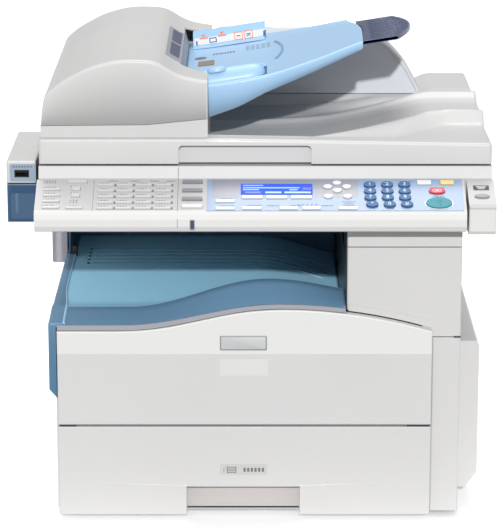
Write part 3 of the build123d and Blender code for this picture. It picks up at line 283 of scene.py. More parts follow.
    def finish(self, name: str, finish: "Finish", body: str, slot: str,
               stands_for: tuple[str, ...] = (), wall: float = 0.0, bevel: float = 0.0,
               crease: float = 35.0) -> bpy.types.Object:
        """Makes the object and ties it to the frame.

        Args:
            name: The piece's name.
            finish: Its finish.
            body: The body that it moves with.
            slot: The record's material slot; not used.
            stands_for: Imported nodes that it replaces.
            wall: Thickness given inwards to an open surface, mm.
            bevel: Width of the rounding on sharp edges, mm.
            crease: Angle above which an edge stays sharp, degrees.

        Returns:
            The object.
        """
        mesh = bpy.data.meshes.new(name)
        mesh.from_pydata((np.concatenate(self.points) * MM).tolist(), [], self.faces)
        work = bmesh.new()
        work.from_mesh(mesh)
        bmesh.ops.remove_doubles(work, verts=work.verts, dist=WELD)
        bmesh.ops.dissolve_degenerate(work, edges=work.edges, dist=SLIVER)
        bmesh.ops.recalc_face_normals(work, faces=work.faces)
        work.to_mesh(mesh)
        work.free()
        mesh.polygons.foreach_set("use_smooth", [True] * len(mesh.polygons))
        mesh.set_sharp_from_angle(angle=math.radians(crease))
        piece = bpy.data.objects.new(name, mesh)
        bpy.context.scene.collection.objects.link(piece)
        mesh.materials.append(finish.make())
        if wall:
            shell = piece.modifiers.new("wall", "SOLIDIFY")
            shell.thickness, shell.offset, shell.use_even_offset = wall * MM, -1.0, True
        if bevel:
            edge = piece.modifiers.new("edges", "BEVEL")
            edge.width, edge.segments, edge.limit_method = bevel * MM, 2, "ANGLE"
            edge.angle_limit = BEVEL_ANGLE
        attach(piece, body)
        if stands_for:
            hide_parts(*stands_for)
        log.info("%s: %d faces on %s", name, len(mesh.polygons), body)
        return piece


# ---------------------------------------------------------------- finishes
DRIFT_SCALE, GRAIN_SCALE, RUBBER_GRAIN_SCALE = 9.0, 1500.0, 700.0
GRAIN_DEPTH = 0.00006
PLASTIC_IOR = 1.49


class Kind(Enum):
    """What a finish is made of."""

    MOULDED = "moulded"
    CLEAR = "clear"
    METAL = "metal"
    RUBBER = "rubber"
    GLOW = "glow"


class Graph:
    """A short way to add and join shader nodes."""

    def __init__(self, name: str) -> None:
        """Starts a material that holds only its output and its surface shader."""
        self.material = bpy.data.materials.new(name)
        self.material.use_nodes = True
        self.tree = self.material.node_tree
        self.shader = self.tree.nodes["Principled BSDF"]

    def feed(self, node: bpy.types.Node, inputs: Inputs) -> None:
        """Links or sets a node's sockets, each given by number or name, to an output or a value."""
        for key, value in inputs.items():
            if isinstance(value, bpy.types.NodeSocket):
                self.tree.links.new(value, node.inputs[key])
            else:
                node.inputs[key].default_value = value

    def add(self, kind: str, inputs: Inputs | None = None, **settings: object) -> bpy.types.Node:
        """Adds a node.

        Args:
            kind: The node's type.
            inputs: What its sockets are fed with.
            settings: Its properties.

        Returns:
            The node.
        """
        node = self.tree.nodes.new(kind)
        for key, value in settings.items():
            setattr(node, key, value)
        self.feed(node, inputs or {})
        return node

    def noise(self, place: bpy.types.NodeSocket, scale: float, detail: float = 2.0) -> bpy.types.NodeSocket:
        """Soft random pattern with about scale features to the metre."""
        node = self.add("ShaderNodeTexNoise", {"Scale": scale, "Detail": detail, "Vector": place})
        return node.outputs["Fac"]

    def blend(self, share: bpy.types.NodeSocket, first: object, second: object) -> bpy.types.NodeSocket:
        """Mixes two colours, each a value or a socket, by a share."""
        ends = [c if isinstance(c, bpy.types.NodeSocket) else (*c, 1.0) for c in (first, second)]
        return self.add("ShaderNodeMix", {0: share, 6: ends[0], 7: ends[1]}, data_type="RGBA").outputs[2]

    def scaled(self, source: bpy.types.NodeSocket, low: float, high: float) -> bpy.types.NodeSocket:
        """Stretches a 0 to 1 value to run from low to high."""
        node = self.add("ShaderNodeMapRange", {"To Min": low, "To Max": high, "Value": source})
        return node.outputs["Result"]

    def inside(self, place: bpy.types.NodeSocket, zone: "Zone") -> bpy.types.NodeSocket:
        """One inside a zone and nought outside it."""
        parts = self.add("ShaderNodeSeparateXYZ", {0: place})
        share = None
        for axis, low, high in zone.limits:
            source = parts.outputs["XYZ".index(axis)]
            for operation, limit in (("GREATER_THAN", low), ("LESS_THAN", high)):
                test = self.add("ShaderNodeMath", {0: source, 1: limit * MM}, operation=operation).outputs[0]
                if share:
                    test = self.add("ShaderNodeMath", {0: share, 1: test}, operation="MULTIPLY").outputs[0]
                share = test
        return share


@dataclass(frozen=True)
class Zone:
    """A region of a piece that has its own colour: limits are (axis, low, high) in mm."""

    limits: tuple[tuple[str, float, float], ...]
    colour: Colour


@dataclass(frozen=True)
class Finish:
    """A surface finish.

    The colour drifts by a few percent over a hand's width, the moulded grain is under a millimetre, and the
    gloss varies with the grain.
    """

    name: str
    colour: Colour
    kind: Kind = Kind.MOULDED
    roughness: float = 0.45
    grain: float = 0.25
    clear: float = 0.0
    zones: tuple[Zone, ...] = ()

    def make(self) -> bpy.types.Material:
        """Builds the node material, or returns it if it is there already."""
        title = f"{self.name}_finish"
        ready = bpy.data.materials.get(title)
        if ready:
            return ready
        graph = Graph(title)
        place = graph.add("ShaderNodeTexCoord").outputs["Object"]
        drift = graph.noise(place, DRIFT_SCALE, 3.0)
        fine = graph.noise(place, RUBBER_GRAIN_SCALE if self.kind is Kind.RUBBER else GRAIN_SCALE)
        light = tuple(min(1.0, channel * 1.025) for channel in self.colour)
        dark = tuple(channel * 0.965 for channel in self.colour)
        colour = graph.blend(drift, dark, light)
        for zone in self.zones:
            colour = graph.blend(graph.inside(place, zone), colour, zone.colour)
        gloss = graph.scaled(fine, max(self.roughness - 0.05, 0.04), self.roughness + 0.07)
        bump = graph.add("ShaderNodeBump", {"Strength": self.grain, "Distance": GRAIN_DEPTH, "Height": fine})
        extra = {
            Kind.MOULDED: {"Coat Weight": 0.04}, Kind.CLEAR: {"Transmission Weight": self.clear},
            Kind.METAL: {"Metallic": 1.0}, Kind.RUBBER: {"Sheen Weight": 0.15},
            Kind.GLOW: {"Emission Color": colour, "Emission Strength": 0.2},
        }
        graph.feed(graph.shader, {
            "Base Color": colour, "Roughness": gloss, "Normal": bump.outputs["Normal"], "IOR": PLASTIC_IOR,
            **extra[self.kind],
        })
        return graph.material


# The door's top band, above this height, is painted a lighter white: a painted highlight where the band tips
# up towards the light from above.
DOOR_PAINTED_HIGHLIGHT_Z = 176.0
WHITE: Colour = (0.515, 0.51, 0.507)
WHITE_PAINTED_HIGHLIGHT: Colour = (0.60, 0.598, 0.59)
SHELL = Finish("shell_white", WHITE)
DOOR_SHELL = Finish("door_white_painted_highlight", WHITE, zones=(Zone((("Z", DOOR_PAINTED_HIGHLIGHT_Z, 400.0),), WHITE_PAINTED_HIGHLIGHT),))
# The panel case is one white moulding: its upright front is painted lighter and its slope darker, painted
# light and shade on its two faces.
PANEL_FRONT_PAINTED_LIGHT = Zone((("Z", 0.0, 329.0),), (0.60, 0.595, 0.585))
PANEL_SHELL = Finish("panel_white_painted_light_and_shade", (0.455, 0.45, 0.45), zones=(PANEL_FRONT_PAINTED_LIGHT,))
SCANNER_SHELL = Finish("scanner_white", (0.44, 0.44, 0.44))
GREY = Finish("shell_grey", (0.33, 0.34, 0.36))
BAND = Finish("band_grey", (0.29, 0.295, 0.33))
HUMP = Finish("hump_grey", (0.50, 0.52, 0.56))
LINE_BOX = Finish("line_box_white", (0.60, 0.58, 0.63))
DRAWER_INNER = Finish("drawer_inner_white", (0.42, 0.395, 0.385))
TRAY = Finish("tray_blue", (0.14, 0.275, 0.42), roughness=0.38,
              zones=(Zone((("X", -190.7, 300.0), ("Y", -147.0, 300.0)), (0.41, 0.78, 1.0)),))
SILL = Finish("sill_blue", (0.15, 0.30, 0.46), roughness=0.4)
SKIRT = Finish("skirt_blue", (0.07, 0.16, 0.26), roughness=0.35)
# The bead along the tray rim's inner edge is painted a light blue: a painted highlight on that edge.
BEAD_PAINTED_HIGHLIGHT = Finish("bead_blue_painted_highlight", (0.45, 0.68, 0.85), roughness=0.25)
# The tray's back wall and rear left wall are painted a dark navy: painted shade of the bay's far end, on the
# same blue moulding.
WALL_PAINTED_SHADE = Finish("wall_blue_painted_shade", (0.06, 0.13, 0.22), roughness=0.45)
FEED = Finish("feed_blue", (0.315, 0.495, 0.70), roughness=0.40)
FEED_DEEP = Finish("feed_blue_deep", (0.17, 0.30, 0.50), roughness=0.42)
NAVY = Finish("navy_clear", (0.035, 0.05, 0.135), Kind.CLEAR, 0.28, 0.05, 0.15)
NAVY_RIM = Finish("navy_rim", (0.075, 0.12, 0.25), roughness=0.25)
CARD_BLUE = Finish("card_blue", (0.05, 0.12, 0.25), Kind.CLEAR, 0.14, 0.05, 0.45)
PLATE_BLUE = Finish("plate_blue", (0.24, 0.31, 0.39))
LCD = Finish("lcd_blue", (0.003, 0.07, 0.60), Kind.GLOW, 0.6, 0.02)
LCD_LINE = Finish("lcd_line", (0.26, 0.44, 0.85), Kind.GLOW, 0.3, 0.02)
KEY_WHITE = Finish("key_white", (0.66, 0.66, 0.655), roughness=0.35)
DISPLAY_KEYS = Finish("display_key_white", (0.62, 0.62, 0.62), roughness=0.35,
                      zones=(Zone((("X", 187.0, 300.0),), (0.66, 0.50, 0.20)),))
KEY_GREY = Finish("key_grey", (0.24, 0.25, 0.28))
FUNCTION_KEYS = Finish("function_key_grey", (0.22, 0.23, 0.26),
                       zones=(Zone((("Y", -230.0, -211.0),), (0.62, 0.62, 0.62)),))
KEY_NAVY = Finish("key_navy", (0.016, 0.095, 0.24), roughness=0.5)
KEY_GREEN = Finish("key_green", (0.002, 0.21, 0.26), roughness=0.5)
KEY_RED = Finish("key_red", (0.54, 0.03, 0.045), roughness=0.5)
STEEL = Finish("steel", (0.56, 0.57, 0.58), Kind.METAL, 0.32, 0.15)
BLACK = Finish("black_plastic", (0.018, 0.018, 0.02), roughness=0.42)
RUBBER_BLACK = Finish("rubber_black", (0.02, 0.02, 0.02), Kind.RUBBER, 0.75, 0.5)
RUBBER_GREY = Finish("rubber_grey", (0.16, 0.16, 0.165), Kind.RUBBER, 0.72, 0.5)
DRUM = Finish("drum_green", (0.02, 0.22, 0.16), roughness=0.14, grain=0.03)
GLASS = Finish("glass_clear", (0.88, 0.93, 0.92), Kind.CLEAR, 0.07, 0.0, 0.92)
FOAM = Finish("foam_white", (0.80, 0.80, 0.79), Kind.RUBBER, 0.85, 0.6)
BOARD = Finish("board_green", (0.03, 0.17, 0.07), roughness=0.5)
INK = Finish("ink_grey", (0.13, 0.14, 0.17), roughness=0.6)
INK_SOFT = Finish("ink_soft", (0.12, 0.125, 0.14), roughness=0.6)
MEMORY_KEYS = Finish("memory_key_white", (0.52, 0.52, 0.515), roughness=0.4)
SEAM = Finish("seam_dark", (0.16, 0.16, 0.17), roughness=0.7)
SILVER = Finish("badge_silver", (0.22, 0.23, 0.23), roughness=0.25)
LABEL_PALE = Finish("label_pale", (0.46, 0.465, 0.44), roughness=0.4)
ORANGE = Finish("mark_orange", (0.80, 0.20, 0.05), roughness=0.5)
PAD_BROWN = Finish("pad_brown", (0.19, 0.13, 0.085), Kind.RUBBER, 0.9, 0.6)
# The floor's ribs are painted darker than the floor round them: painted shade at the back of the bay.
RIB_PAINTED_SHADE = Finish("rib_blue_painted_shade", (0.20, 0.40, 0.58))
BADGE_FACE = Finish("badge_face", (0.43, 0.45, 0.45), roughness=0.35)
LABEL_FILM = Finish("label_film", (0.575, 0.57, 0.565), roughness=0.22)
PANEL_RAISED = Finish("shell_panel", (0.66, 0.65, 0.64), roughness=0.5)
LCD_DARK = Finish("lcd_dark", (0.005, 0.03, 0.35), Kind.GLOW, 0.2, 0.02)
WINDOW_DARK = Finish("window_dark", (0.05, 0.06, 0.10), roughness=0.12, grain=0.0)
CARD_INSET = Finish("card_inset", (0.05, 0.10, 0.17), roughness=0.2)
CLEAR_PULL = Finish("clear_pull", (0.12, 0.20, 0.34), Kind.CLEAR, 0.12, 0.0, 0.3)
FLOOR_WHITE = Finish("floor_white", (0.92, 0.92, 0.92), Kind.GLOW, 0.9, 0.0)
PANEL_LABEL = Finish(
    "panel_blue", (0.215, 0.30, 0.44), roughness=0.3,
    zones=(Zone((("X", -37.2, 107.7), ("Y", -204.8, -178.6)), (0.235, 0.245, 0.295)),),
)

NODE_FINISH: dict[str, Finish] = {
    "base_frame": STEEL, "rubber_feet": RUBBER_BLACK, "inner_cover": GREY, "left_cover": SHELL,
    "right_cover": SHELL, "column_cover": SHELL, "column_top_cover": SHELL, "rear_cover": SHELL,
    "power_inlet": BLACK, "exit_panel": BLACK, "scanner_case": SCANNER_SHELL,
    "platen_glass": GLASS, "carriage_rod": STEEL, "panel_case": PANEL_SHELL, "panel_label": PANEL_LABEL,
    "lcd_display": LCD, "card_unit": SHELL, "usb_socket": BLACK, "power_switch_unit": PANEL_SHELL,
    "line_box": LINE_BOX, "laser_unit": BLACK, "power_supply": BOARD, "cover_hinges": STEEL,
    "front_door": DOOR_SHELL, "drawer_box": DRAWER_INNER, "drawer_front": SHELL, "lift_plate": STEEL,
    "front_fence": GREY, "rear_fence": GREY, "end_fence": GREY, "bypass_tray": SHELL,
    "card_cover": CARD_BLUE, "photo_drum": DRUM, "transfer_roller": RUBBER_GREY, "fuser_roller": RUBBER_GREY,
    "pressure_roller": RUBBER_GREY, "exit_roller": RUBBER_BLACK, "pickup_roller": RUBBER_BLACK,
    "toner_bottle": BLACK, "scan_carriage": BLACK, "platen_sheet": FOAM, "feeder_housing": SHELL,
    "feeder_roller": RUBBER_GREY, "feed_tray_extension": NAVY, "front_guide": FEED, "rear_guide": FEED,
    "power_key": KEY_GREY, "start_key": KEY_GREEN, "stop_key": KEY_RED, "number_keys": KEY_NAVY,
    "cursor_keys": KEY_WHITE, "display_keys": DISPLAY_KEYS, "function_keys": FUNCTION_KEYS,
    "memory_keys": MEMORY_KEYS,
}


def dress_packed_nodes() -> None:
    """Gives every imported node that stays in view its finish."""
    for name, finish in NODE_FINISH.items():
        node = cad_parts[name]
        node.data.materials.clear()
        node.data.materials.append(finish.make())


# ---------------------------------------------------------------- shared sizes, mm
FRONT_LEFT = -193.0
DOOR_Y = -200.0
CREST_X = 30.0
RISE = 158.0
DOOR_LOW, DOOR_RISE, DOOR_FALL = 199.3, 22.5, 9.6e-4
HINGE_Y, HINGE_Z = 199.0, 369.5


def door_edge(x: np.ndarray) -> np.ndarray:
    """Door's top edge: a cosine rise to the crest, then a falling parabola."""
    rise = DOOR_RISE * ease(x, CREST_X - RISE, CREST_X)
    return DOOR_LOW + rise - DOOR_FALL * np.clip(x - CREST_X, 0, None) ** 2


def round_in(away: float, radius: float) -> float:
    """How far a quarter-circle corner still stands in at a distance from its end."""
    return radius * (1 - math.sqrt(max(0.0, 1 - (1 - min(away / radius, 1.0)) ** 2)))


@dataclass
class Lid:
    """The cover over the glass, with its swept paper rest."""

    x: tuple[float, float] = (-209.5, 241.0)
    y: tuple[float, float] = (-171.0, 190.0)
    base: float = 364.5
    feeder_right: float = -41.5
    handle: tuple[float, float] = (-70.5, 61.5)
    handle_top: float = 383.0
    handle_depth: float = 7.0
    handle_round: float = 4.0
    rim_back: float = -153.0
    corner: float = 3.0

    def rim(self, x: np.ndarray) -> np.ndarray:
        """Height of the front rim, which falls from left to right."""
        return 390.0 - 5.0 * np.clip((x - self.feeder_right) / (self.x[1] - self.feeder_right), 0, 1)

    def lines(self, x: np.ndarray) -> tuple[np.ndarray, np.ndarray]:
        """Depths and heights of the lines that shape the top, from the front rim to the rear edge.

        Returns:
            Two arrays of shape (lines, stations).
        """
        rim = self.rim(x)
        valley = through([(-45, 371), (40, 371.5), (100, 376), (150, 384), (186, 389), (245, 389.5)], x)
        crest1_y = through([
            (-45, -151), (60, -150.5), (88, -138), (114, -120), (140, -102), (166, -84), (186, -66),
            (245, -62),
        ], x)
        crest1 = np.where(x < 60, rim, through([
            (60, 387.8), (88, 389.2), (114, 390.4), (140, 392.5), (166, 395.3), (188, 397.6), (245, 397.8),
        ], x))
        foot1_y = through([(60, -152), (140, -150), (175, -105), (205, -77), (245, -75)], x)
        foot1_y = np.minimum(crest1_y - 1.5, foot1_y)
        foot1 = np.minimum(rim, through([(60, 388), (140, 386), (205, 384.2), (245, 383.6)], x))
        crest2_y = through([
            (-45, -10), (0, -8), (53, -2), (79, 4), (106, 12), (132, 20), (159, 29), (190, 35), (245, 35),
        ], x)
        crest2 = through([
            (-45, 375.5), (0, 375.5), (53, 376.4), (79, 377.6), (106, 380.8), (132, 385.6), (159, 391.4),
            (180, 396.4), (192, 397.8), (245, 397.9),
        ], x)
        shelf = 382.3 + 6.5 * ease(x, 178.0, 200.0)
        low = np.minimum(valley, crest1 - 1.0)
        rows = [
            (self.y[0] + 0 * x, rim), (np.minimum(self.rim_back + 0 * x, foot1_y - 1), rim), (foot1_y, foot1),
            (crest1_y, crest1), (crest1_y + 9, low + 0.35 * (crest1 - low)), (crest1_y + 22, low),
            (crest2_y - 30, low + 0.2), (crest2_y - 12, low + 0.35 * (crest2 - low)), (crest2_y, crest2),
            (crest2_y + 12, low + 0.5 * (crest2 - low)), (crest2_y + 30, np.minimum(low, shelf - 1)),
            (91 + 0 * x, np.minimum(low, shelf - 0.6)), (95 + 0 * x, shelf),
            (self.y[1] - 6 + 0 * x, shelf - 0.2), (self.y[1] + 0 * x, shelf - 1.2),
        ]
        return np.array([row[0] for row in rows]), np.array([row[1] for row in rows])

    def top(self, x: float, across: np.ndarray) -> np.ndarray:
        """Height of the top at one station across the depth, with the flat seat under the feeder."""
        if x < self.feeder_right + 0.5:
            return np.full_like(across, 390.0)
        depths, heights = self.lines(np.array([x]))
        order = np.argsort(depths[:, 0])
        knots = depths[order, 0] + np.arange(len(order)) * 1e-4
        return monotone_cubic(knots, heights[order, 0], across)

    def build(self) -> None:
        """Carries a closed section across the width; the section's foot rises over the hand recess."""
        left, right, r = *self.x, self.corner
        turn = np.linspace(0, math.pi / 2, 5)
        steps = np.array([0, 0.02, 0.9, 2.0, self.handle_round])
        stations = sorted({
            *(left + r * (1 - np.sin(turn))).round(3), *(right - r * (1 - np.sin(turn))).round(3),
            *np.arange(left + r, right - r, 4.0).round(3), self.feeder_right, self.feeder_right + 0.6,
            *(self.handle[0] + steps), *(self.handle[1] - steps),
        })
        across = np.unique(np.concatenate([
            np.linspace(self.y[0] + r, self.y[1] - r, 110),
            np.linspace(self.rim_back - 4, self.rim_back + 30, 30)]))
        sections = []
        for x in stations:
            from_end = min(x - left, right - x)
            inset = round_in(from_end, r)
            foot = self.base
            into = min(x - self.handle[0], self.handle[1] - x)
            if into > 0.01:
                foot = self.handle_top - round_in(into, self.handle_round)
            front, back = self.y[0] + inset, self.y[1] - inset
            height = self.top(x, across) - inset
            first, last = height[0], height[-1]
            ring = [
                (self.y[0] + self.handle_depth, self.base), (self.y[0] + self.handle_depth, foot),
                (front, foot)
            ]
            ring += [(front + r * (1 - math.cos(t)), first - r * (1 - math.sin(t))) for t in turn]
            ring += list(zip(np.clip(across[1:-1], front + r, back - r), height[1:-1]))
            ring += [(back - r * (1 - math.sin(t)), last - r * (1 - math.cos(t))) for t in turn]
            ring.append((back, self.base))
            sections.append([(x, y, z) for y, z in ring])
        Shape().grid(np.array(sections), ring=True, caps=True).finish(
            "lid_cover", SHELL, "lid", "shell_white", ("platen_cover",), crease=42)
        self.build_hinges()

    def build_hinges(self) -> None:
        """Two hinge barrels with their arms, bored through for the pins."""
        barrels = Shape()
        profile = ((-8.5, 3.05), (-8.5, 4.6), (-8.1, 5.0), (8.1, 5.0), (8.5, 4.6), (8.5, 3.05), (-8.5, 3.05))
        for centre in (self.x[0] + 90.0, self.x[1] - 90.0):
            rows = []
            for x, radius in profile:
                circle = oval_outline(2 * radius, 2 * radius, 32) + (HINGE_Y, HINGE_Z)
                rows.append(np.column_stack([np.full(32, centre + x), circle]))
            barrels.grid(np.array(rows), ring=True)
            barrels.box((centre - 8.5, centre + 8.5), (188.0, 195.6), (366.5, 372.5), 0.5)
        barrels.finish("lid_hinge_barrels", SHELL, "lid", "shell_white")


@dataclass
class Feeder:
    """The document feeder's arched cover, its trim, tray, guides and drive housing."""

    left: float = -207.5
    right: float = -41.5
    y: tuple[float, float] = (-167.0, 162.0)
    seam_left: float = 402.5
    seam_right: float = 409.5
    mouth_x: float = -69.5
    mouth_half: float = 127.0
    round_end: float = 3.2

    def arch(self, x: np.ndarray) -> np.ndarray:
        """Height of the arch."""
        return through([
            (-207.5, 402.5), (-206.4, 412.0), (-204.8, 424.0), (-202.5, 432.4), (-196, 438.9), (-186, 446.4),
            (-173, 453.7), (-160, 460.0), (-146.3, 464.4), (-132, 467.4), (-119.5, 468.3), (-105, 468.0),
            (-96, 466.9), (-89.5, 464.9), (-82, 460.6), (-74, 455.8), (-66.5, 452.6), (-55, 449.6),
            (-41.5, 447.6),
        ], x)

    def build(self) -> None:
        """Builds every part of the feeder."""
        self.build_cover()
        self.build_strip()
        FeedTray().build()
        DriveHousing().build()

    def mouth_edge(self, y: np.ndarray) -> np.ndarray:
        """Right-hand edge of the cover: set back over the tray, swept out to the corners."""
        swept = ease(np.abs(y), self.mouth_half - 20.0, self.mouth_half + 0.5)
        return self.mouth_x + (self.right - self.mouth_x) * swept

    def build_cover(self) -> None:
        """Carries the arch from front to back; both ends turn down round a small radius into flat walls."""
        r = self.round_end
        turn = np.linspace(0, math.pi / 2, 7)
        ends = [(self.y[0] + r * (1 - math.cos(t)), r * (1 - math.sin(t))) for t in turn]
        middle = [(y, 0.0) for y in np.unique(np.concatenate([
            np.linspace(self.y[0] + r, self.y[1] - r, 60)[1:-1],
            np.linspace(-128, -105, 16), np.linspace(105, 128, 16)]))]
        rows = [(self.y[0], None)] + ends + middle + [
            (self.y[0] + self.y[1] - y, drop) for y, drop in reversed(ends)
        ]
        rows += [(self.y[1], None)]
        share = np.linspace(0, 1, 90) ** 1.25
        sections = []
        for y, drop in rows:
            edge = float(self.mouth_edge(np.array(y)))
            x = self.left + (edge - self.left) * share
            knots = (self.left, self.right - 60.0, self.right)
            seam = np.interp(x, knots, (self.seam_left, self.seam_left + 1.0, self.seam_right))
            if drop is None:
                z = seam
                wall_z = seam[-1] * np.ones(6)
            else:
                z = np.maximum(self.arch(x) - drop, seam)
                shut = float(ease(abs(y), self.mouth_half - 0.6, self.mouth_half + 0.6))
                wall_z = z[-1] + (seam[-1] - z[-1]) * shut * np.linspace(0, 1, 6)
            line = np.column_stack([x, np.full_like(x, y), z])
            wall = np.column_stack([np.full(6, edge), np.full(6, y), wall_z])
            sections.append(np.concatenate([line, wall]))
        Shape().grid(np.array(sections)).finish(
            "feeder_cover_shell", SHELL, "feeder_top_cover", "shell_white", ("feeder_top_cover",),
            wall=2.6, crease=50)

    def arch_plate(self, shape: Shape, x: tuple[float, float], y: tuple[float, float], lift: float) -> None:
        """Adds a closed thin plate that lies along the arch.

        Args:
            shape: Where it goes.
            x: Its left and right edges, mm.
            y: Its front and rear edges, mm.
            lift: Height of its top above the arch, mm.
        """
        gx, gy = np.meshgrid(np.linspace(*x, 10), np.linspace(*y, 12), indexing="ij")
        top, under = (np.stack([gx, gy, self.arch(gx) + height], axis=-1) for height in (lift, lift - 0.5))
        shape.grid(top).grid(under)
        for cut in (np.s_[0, :], np.s_[-1, :], np.s_[:, 0], np.s_[:, -1]):
            shape.grid(np.stack([top[cut], under[cut]]))

    def build_strip(self) -> None:
        """The trim strip on the slope beside the tray: a pale border, its flap and two dark window blocks."""
        border = Shape()
        self.arch_plate(border, (-85.0, -70.4), (-104.0, 64.0), 0.35)
        section = ((-70.6, 452.0), (-69.9, 452.2), (-65.6, 437.5), (-66.6, 437.0))
        border.beam([[(x, y, z) for y in np.linspace(-110.0, 100.0, 20)] for x, z in section])
        border.finish("feeder_trim_strip", BAND, "feeder_top_cover", "band_grey")
        blocks = Shape()
        for y in ((-8.0, 56.0), (-84.0, -18.0)):
            self.arch_plate(blocks, (-81.0, -71.6), y, 0.75)
        blocks.finish("feeder_trim_windows", NAVY, "feeder_top_cover", "navy_clear")


@dataclass
class FeedTray:
    """The sloping tray that holds the originals."""

    start: float = -67.5
    end: float = 117.0
    half_narrow: float = 73.0
    end_bow: float = 14.0
    lip: float = 1.4

    def floor(self, x: np.ndarray) -> np.ndarray:
        """Height of the tray's floor."""
        return through(
            [(-67.5, 431.5), (-41.5, 434.5), (16.5, 443.5), (62.5, 454.5), (107.5, 467.5), (117.0, 469.9)],
            x
        )

    def skirt(self, x: np.ndarray) -> np.ndarray:
        """Height of the front skirt's lower edge."""
        return through(
            [(-40.5, 402.3), (-13.5, 412.0), (20.1, 428.5), (54, 440.5), (88.2, 453.0), (117, 463.5)], x
        )

    def half(self, x: np.ndarray) -> np.ndarray:
        """Half the tray's width."""
        return through(
            [(-67.5, 124.4), (-13.5, 124.2), (16, 121.5), (54, 106), (85, 90), (105, 79), (117, 73)], x
        )

    def build(self) -> None:
        """Builds the tray, its marks, its guides' trims and the extension's trims."""
        self.build_pan()
        self.build_marks()
        self.build_guide_trims()
        self.build_extension_trims()

    def build_pan(self) -> None:
        """A section across the depth, floor and rounded edges, carried up the slope and bowed at its end."""
        extra = np.array([27.0, 27.4]) / (self.end - self.start)
        along = np.unique(np.append(np.linspace(0, 1, 46), extra))
        arc = np.linspace(0, math.pi / 2, 5)
        rows = []
        for share in along:
            station = self.start + share * (self.end - self.end_bow / 2 - self.start)
            half = float(self.half(np.array(station)))
            side = np.linspace(-half + 3.0, half - 3.0, 41)
            corner = 3.0 * (1 - np.cos(arc[:-1]))
            y = np.concatenate([[-half, -half], -half + corner, side, (half - corner)[::-1], [half]])
            span = y / self.half_narrow
            bow = self.end_bow * span.clip(0, 1) ** 2 + 1.5 * span.clip(-1, 0) ** 2
            x = self.start + share * (self.end - bow - self.start)
            top = self.floor(x)
            edge = (np.abs(y) > half - 10.0) * self.lip * ease(np.abs(y), half - 10.0, half - 7.0)
            z = top + edge
            below = 3.0 * (1 - np.sin(arc[:-1]))
            z[2:6] -= below
            z[-5:-1] -= below[::-1]
            foot = self.skirt(max(x[0], -40.5)) if x[0] > -41.0 else self.floor(x[0]) - 4.0
            z[0] = min(float(foot), z[2] - 0.5)
            z[1] = z[2]
            z[-1] = z[-2] - 2.0
            rows.append(np.column_stack([x, y, z]))
        for drop in (1.0, 8.5):
            last = rows[-1].copy()
            last[:, 0] += 0.01
            least = np.minimum(last[:, 2], rows[len(along) - 1][0, 2] + 0.3)
            last[:, 2] = np.maximum(last[:, 2] - drop, least)
            rows.append(last)
        Shape().grid(np.array(rows)).finish(
            "feed_tray_pan", FEED, "feed_tray", "feed_blue", ("feed_tray",), wall=2.0, crease=50)

    def patch_plate(self, shape: Shape, outline: Outline, lift: float, thick: float = 0.3) -> None:
        """Adds a thin plate whose outline is drawn in plan and laid on the floor."""
        floor = self.floor(outline[:, 0])
        rows = [np.column_stack([outline, floor + height]) for height in (lift, lift + thick)]
        shape.grid(np.array(rows), ring=True, caps=True)

    def build_marks(self) -> None:
        """The friction pad, the raised size arc and printed guide marks on the floor."""
        pad = Shape()
        self.patch_plate(pad, rounded_box_outline(17.0, 25.0, 1.0) + (-45.5, -2.0), 0.02, 0.8)
        pad.finish("separation_pad", PAD_BROWN, "feed_tray", "rubber_grey")
        bow = np.linspace(-1, 1, 25)
        arc = Shape()
        inner, outer = (
            np.column_stack([27.0 + 7.5 * (1 - bow**2) + shift, 14.0 + reach * bow])
            for shift, reach in ((-1.2, 50.0), (1.2, 52.0)))
        self.patch_plate(arc, np.concatenate([inner, outer[::-1]]), 0.02, 0.9)
        arc.finish("feed_tray_size_arc", FEED_DEEP, "feed_tray", "feed_blue")
        print_marks = Shape()
        for row in range(5):
            for column in range(5):
                spot = (-2.0 + 5.4 * column, 42.0 + 6.0 * row)
                self.patch_plate(
                    print_marks, rounded_box_outline(4.4 - (row % 2), 1.5, 0.3) + spot, 0.02, 0.1
                )
        self.patch_plate(print_marks, oval_outline(13.0, 16.0) + (-52.0, 32.0), 0.02, 0.1)
        for column in range(8):
            self.patch_plate(
                print_marks, rounded_box_outline(2.2, 7.0, 0.3) + (-38.0 + 3.0 * column, 46.0), 0.02, 0.1
            )
        print_marks.finish("feed_tray_marks", INK, "feed_tray", "black_plastic")

    def build_guide_trims(self) -> None:
        """The front guide's finger piece and ledge, the rear guide's label and marks, and the end pins."""
        x = np.linspace(-60.5, 15.8, 40)
        self.build_grip(x)
        label = [np.column_stack([x, np.full_like(x, y), self.guide_line(x, lift)])
                 for y, lift in ((103.6, 1.2), (103.6, 9.6), (103.95, 9.6), (103.95, 1.2))]
        Shape().beam(label).finish("rear_guide_label", KEY_WHITE, "rear_guide", "key_white")
        self.build_guide_marks()
        for side, body in ((-1, "front_guide"), (1, "rear_guide")):
            pin = Shape().box((14.5, 17.5), (side * 105.5 - 2.2, side * 105.5 + 2.2), (443.9, 451.0), 0.8)
            pin.finish(f"{body}_end_pin", KEY_NAVY, body, "key_navy")

    def guide_line(self, x: np.ndarray, lift: float) -> np.ndarray:
        """Heights parallel to the floor that the guides slide over."""
        return np.interp(x, [-67.5, -41.5, 16.5], [431.5, 434.5, 443.5]) + lift

